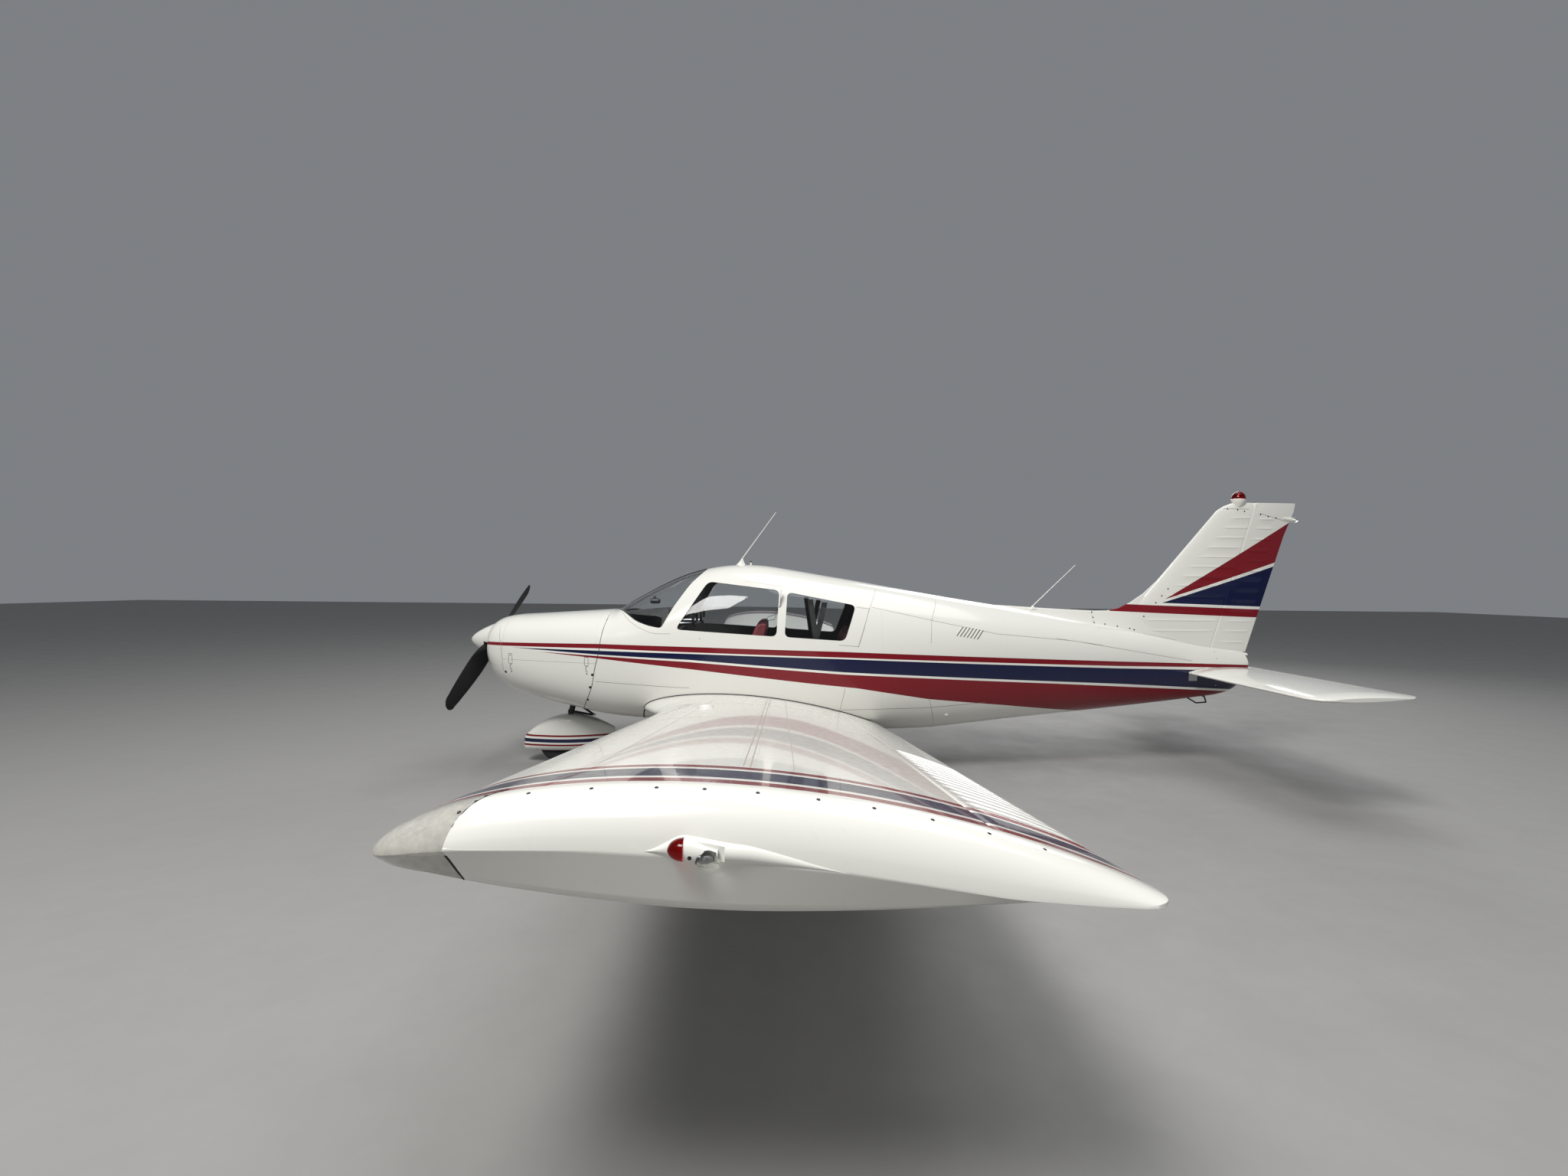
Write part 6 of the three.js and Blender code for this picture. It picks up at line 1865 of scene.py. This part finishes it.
def fine_line(spots, radius, material, sunk):
    """A fine line along skin spots, sunk into the skin by a share of its radius."""
    return tube("line", [place - out * radius * sunk for place, out in spots if place], radius, 6, material)


def side_line(tree, side, points, radius=1.5, material=SEAM, step=28, bend=False, sunk=0.3):
    """A fine line on the side of the fuselage or fin, through [station, height] points."""
    spots = [side_spot(tree, side, s, z) for s, z in even_route(points, step, bend)]
    return fine_line(spots, radius, material, sunk)


def wing_line(tree, points, radius=1.5, material=SEAM, over=1, step=30, sunk=0.3):
    spots = [wing_spot(tree, s, y, over) for s, y in even_route(points, step, False)]
    return fine_line(spots, radius, material, sunk)


RIVET_RADIUS, RIVET_HEIGHT = 2.2, 0.7


def rivets(name, spots):
    """Many small domes at (place, outward direction) pairs, as one mesh."""
    points, faces = [], []
    for place, out in spots:
        start = len(points)
        for up, radius in ((-0.5, RIVET_RADIUS), (RIVET_HEIGHT * 0.7, RIVET_RADIUS * 0.7)):
            points += list(round_ring(place + out * up, out, radius, 6))
        points.append(np.array(place + out * RIVET_HEIGHT))
        for i in range(6):
            j = (i + 1) % 6
            faces.append((start + i, start + j, start + 6 + j, start + 6 + i))
            faces.append((start + 6 + i, start + 6 + j, start + 12))
        faces.append(tuple(start + i for i in range(5, -1, -1)))
    return make(name, np.array(points), faces, FAINT)


FRAME_LINES = [
    [(3465, 1553), (3371, 1352), (3271, 1055)],
    [(3269, 1365), (3370, 1355), (3279, 1059), (3119, 1071)],
    [(3390, 1368), (3879, 1265), (4417, 1158), (5082, 1100), (5687, 1002), (6154, 927)],
    [(3972, 1477), (3879, 1265), (3862, 1087)],
    [(3851, 656), (3936, 339)],
    [(3147, 552), (3848, 566), (4331, 604)],
    [(3174, 730), (3136, 552)],
    [(1206, 765), (1738, 735), (1948, 726)],
    [(373, 1179), (410, 1031), (425, 924), (429, 825)],
]
RIVET_LINES = [
    [(3390, 1380), (3879, 1277), (4417, 1170), (5082, 1112), (5687, 1014), (6154, 939)],
    [(3960, 1465), (3867, 1265), (3850, 1087)],
    [(4506, 1300), (4500, 1000)],
    [(5118, 1220), (5112, 1000)],
    [(1230, 778), (1738, 748), (1948, 739)],
]
COWL_JOINT = [(1259, 1316), (1259, 1249), (1246, 1150), (1225, 969), (1202, 876), (1176, 735), (1022, 445)]
SCREEN_EDGE = [(1360, 1318), (1452, 1243), (1546, 1189), (1656, 1151), (1796, 1148)]
ROOT_CUFF = [(1585, 541), (1540, 412)]
COWL_SCREWS = [(1181, 817), (1160, 716), (1128, 610), (448, 819)]
CONE_SCREWS = [(6381, 1002), (6390, 944), (6385, 715), (2028, 1113)]
LATCHES = [(497, 899), (1131, 897)]
LOUVRE_LOW, LOUVRE_HIGH, LOUVRES = [(4078, 1143), (4248, 1115)], [(4139, 1214), (4305, 1186)], 7
TAIL_RING = [(6143, 616), (6197, 590), (6264, 551), (6350, 558), (6336, 605), (6249, 637)]
TAIL_PLATE = [(6202, 839), (6202, 758), (6123, 758), (6123, 839)]
RIVET_PITCH = 26


def latch(tree, side, station, z):
    """A toggle latch across the cowl's seam: a fine frame, a bar over it, a hook below it and a lock."""
    parts = [
        ([(-15, 58), (15, 56), (16, -10), (-14, -8), (-15, 58)], 2.0, SEAM),
        ([(-17, 70), (17, 68)], 1.8, SEAL_AND_SLOT_SHADE),
        ([(12, -14), (-4, -20), (-2, -52), (13, -58)], 2.4, SEAL_AND_SLOT_SHADE),
        ([(3, -66), (8, -78)], 4, SEAL_AND_SLOT_SHADE),
    ]
    return [
        side_line(tree, side, [(station + aft, z + up) for aft, up in points], radius, material)
        for points, radius, material in parts
    ]


def louvre(tree, side, low, high):
    """A pressed slot: a raised lip, and behind it a black line painted as the shade in the slot's opening."""
    return [
        side_line(tree, side, np.array([low, high]) - (13, 0), 7, PAINT_BODY, 12, sunk=0.7),
        side_line(tree, side, [low, high], 3.6, SEAL_AND_SLOT_SHADE, 12),
    ]


def build_body_lines():
    tree = search_tree(SKINS["body"])
    for word, side in SIDES.items():
        spots_at = lambda places: [side_spot(tree, side, *place) for place in places]
        grey = [side_line(tree, side, points) for points in FRAME_LINES]
        grey.append(side_line(tree, side, [(4934, 1120), (5345, 1062)], 1.3))
        grey.append(side_line(tree, side, SCREEN_EDGE, 2.2, FAINT, bend=True))
        grey.append(side_line(tree, side, [(2365, 1568), (2674, 1525)], 1.2, FAINT))
        dark = [
            side_line(tree, side, COWL_JOINT, 4.5, SEAL_AND_SLOT_SHADE, 20, True, 0.7),
            side_line(tree, side, ROOT_CUFF, 7, SEAL_AND_SLOT_SHADE, 14, sunk=0.5),
            side_line(tree, side, [(SEAM_STATION, SEAM_FRONT_Z), (COWL_BACK, SEAM_BACK_Z)], 2.4, SEAL_AND_SLOT_SHADE),
        ]
        for station, z in LATCHES:
            dark += latch(tree, side, station, z)
        # Each louvre's black line is painted shade in its slot, which is not cut open.
        for low, high in zip(np.linspace(*LOUVRE_LOW, LOUVRES), np.linspace(*LOUVRE_HIGH, LOUVRES)):
            dark += louvre(tree, side, low, high)
        ready(joined("body_lines_" + word, grey), slot="rubber")
        ready(joined("body_joints_" + word, dark), slot="rubber")
        heads = screws("cowl_screws_" + word, spots_at(COWL_SCREWS), 11, 2.5, BLACK_PAINT)
        ready(heads, slot="dark_steel")
        ready(screws("cone_screws_" + word, spots_at(CONE_SCREWS), 5, 1.5, ALLOY), slot="alloy")
        rows = [spots_at(even_route(points, RIVET_PITCH, False)) for points in RIVET_LINES]
        ready(rivets("body_rivets_" + word, [(place, out) for row in rows for place, out in row if place]))
    place, _ = side_spot(tree, LEFT, 4010, 501)
    ready(ellipsoid("static_port", place, (16, 7, 13), 24))
    route = [side_spot(tree, LEFT, 6162, z)[0] - Vector((0, 1, 0)) for z in (839, 812, 785, 758)]
    plate = strap("tail_plate", route, 79, (0.98, 0.17, 0), 2, ALLOY)
    edge = side_line(tree, LEFT, TAIL_PLATE + TAIL_PLATE[:1], 1.6, SEAM, 20)
    ready(joined("tail_plate_fitted", [plate, edge]), slot="alloy")
    ring = even_route(TAIL_RING + TAIL_RING[:1], 12, False)
    ready(tube("tie_down_ring", [(s, 0, z) for s, z in ring], 6, 12, BLACK_PAINT), slot="dark_steel")
    ridge = [(s, 0, body_at(s)[0][1] + 1.5) for s in range(1300, 2050, 25)]
    ready(strap("screen_seal", ridge, 34, (0, 1, 0), 4), slot="rubber")


FIN_SCREWS = [
    (5345, 1328), (5349, 1285), (5351, 1243), (5444, 1229), (5548, 1212), (5654, 1194), (5690, 1183),
    (5782, 1298), (5833, 1357), (5885, 1416), (5935, 1476), (5989, 1536), (6502, 2230), (6584, 2222),
    (6641, 2209),
]
RUDDER_SCREWS = [(6781, 2184), (6850, 2168), (6922, 2155)]
DORSAL_EDGE = [(5345, 1340), (5351, 1205), (5690, 1165), (6046, 1100)]


def build_fin_lines():
    fin_tree, rudder_tree = search_tree(SKINS["body"]), search_tree(SKINS["rudder"])
    for word, side in SIDES.items():
        lines = [
            side_line(fin_tree, side, [(6420, 2233), (6680, 2228)], 1.6),
            side_line(fin_tree, side, DORSAL_EDGE, 1.2, FAINT),
        ]
        ready(joined("fin_lines_" + word, lines), slot="rubber")
        cap = side_line(rudder_tree, side, [(6775, 2192), (7030, 2125)], 1.6)
        cap.name = "rudder_cap_line_" + word
        ready(cap, body="rudder", slot="rubber")
        for surface, tree, places, radius in (
            ("fin", fin_tree, FIN_SCREWS, 6.5), ("rudder", rudder_tree, RUDDER_SCREWS, 7),
        ):
            spots = [side_spot(tree, side, *place) for place in places]
            heads = screws(f"{surface}_screws_{word}", spots, radius, 1.5, BLACK_PAINT)
            ready(heads, body="airframe" if surface == "fin" else "rudder", slot="dark_steel")


TIP_SCREW_STATIONS = (2040, 2146, 2275, 2409, 2508, 2618, 2743, 2858, 2978, 3094, 3207)
TIP_SCREWS = [(station, 4539) for station in TIP_SCREW_STATIONS] + [(2066, 4474), (2048, 4512), (2019, 4568)]
LOW_JOINT = [(2078, 4400), (2078, 4470), (2004, 4612)]
PANEL_END, PANEL_REAR = 4240, 3110


def build_wing_lines():
    tree = search_tree(SKINS["wing"])
    across = [(2571, 640, 2.2), (2589, 640, 2.2), (2700, 470, 1.2), (2200, 640, 1.0)]
    grey = [wing_line(tree, [(s, start), (s, PANEL_END)], radius, FAINT) for s, start, radius in across]
    grey += [wing_line(tree, [(1905, span), (PANEL_REAR, span)], 1.0, FAINT) for span in (1640, 2720)]
    places = [(station, span) for station in (2560, 2600, 2960) for span in range(680, PANEL_END, 30)]
    ribs = (1010, 1330, 1950, 2330, 3090, 3470, 3850)
    places += [(station, span) for span in ribs for station in range(1920, 3100, 34)]
    spots = [wing_spot(tree, *place) for place in places]
    domes = rivets("wing_rivets_right", [spot for spot in spots if spot[0]])
    joint = [wing_line(tree, LENS_JOINT[2:4], 1.6, SEAL_AND_SLOT_SHADE), wing_line(tree, LOW_JOINT, 5, SEAL_AND_SLOT_SHADE, -1, 16, 0.7)]
    heads = [wing_spot(tree, *place) for place in TIP_SCREWS]
    lines, fitted = joined("wing_lines_right", grey), joined("tip_joint_right", joint)
    tip_screws = screws("tip_screws_right", heads, 4.5, 1.3)
    both_sides(lines, slot="rubber")
    both_sides(domes)
    both_sides(fitted, slot="rubber")
    both_sides(tip_screws, slot="dark_steel")


build_cowl()
build_cabin()
build_tailcone()
build_wings()
build_fin()
build_stabilator()
build_beacon()
build_main_gear()
build_nose_gear()
build_propeller()
build_nose_fittings()
build_aerials()
build_pitot_and_step()
build_seats()
build_panel()
build_harness()
build_body_lines()
build_fin_lines()
build_wing_lines()
dress_kept_nodes()

# Studio


def add_lamp(name, place, aim, size, power, colour=(1, 1, 1)):
    data = bpy.data.lights.new(name, "AREA")
    data.shape = "RECTANGLE"
    data.size, data.size_y = size
    data.energy = power
    data.color = colour
    lamp = linked(name, data)
    lamp.location = place
    lamp.rotation_euler = (Vector(aim) - Vector(place)).to_track_quat("-Z", "Y").to_euler()


FLOOR_REACH, FLOOR_AFT = 40000, 47000
SKY, SKY_STRENGTH = (0.86, 0.90, 0.96, 1), 0.24


def build_studio():
    corners = [(-FLOOR_REACH, -FLOOR_REACH, 0), (FLOOR_AFT, -FLOOR_REACH, 0), (FLOOR_AFT, FLOOR_REACH, 0),
               (-FLOOR_REACH, FLOOR_REACH, 0)]
    pale = plain("floor_pale", (0.32, 0.316, 0.308), 0.85, scale=3, shift=0.06)
    make("floor", corners, [(0, 1, 2, 3)], pale)
    bpy.context.scene.view_settings.view_transform = "Standard"
    world = bpy.data.worlds.new("world")
    bpy.context.scene.world = world
    world.use_nodes = True
    background = world.node_tree.nodes["Background"]
    background.inputs[0].default_value = SKY
    background.inputs[1].default_value = SKY_STRENGTH
    add_lamp("key", (-4.0, -8.0, 10.0), (0.2, -1.0, 0.8), (4, 4), 1190, (1, 0.985, 0.96))
    add_lamp("top", (2.0, 0.0, 11.0), (0.5, -0.5, 0.8), (9, 7), 460)
    add_lamp("rim", (5.0, 8.0, 6.0), (0, 0, 1.0), (6, 4), 260)


build_studio()
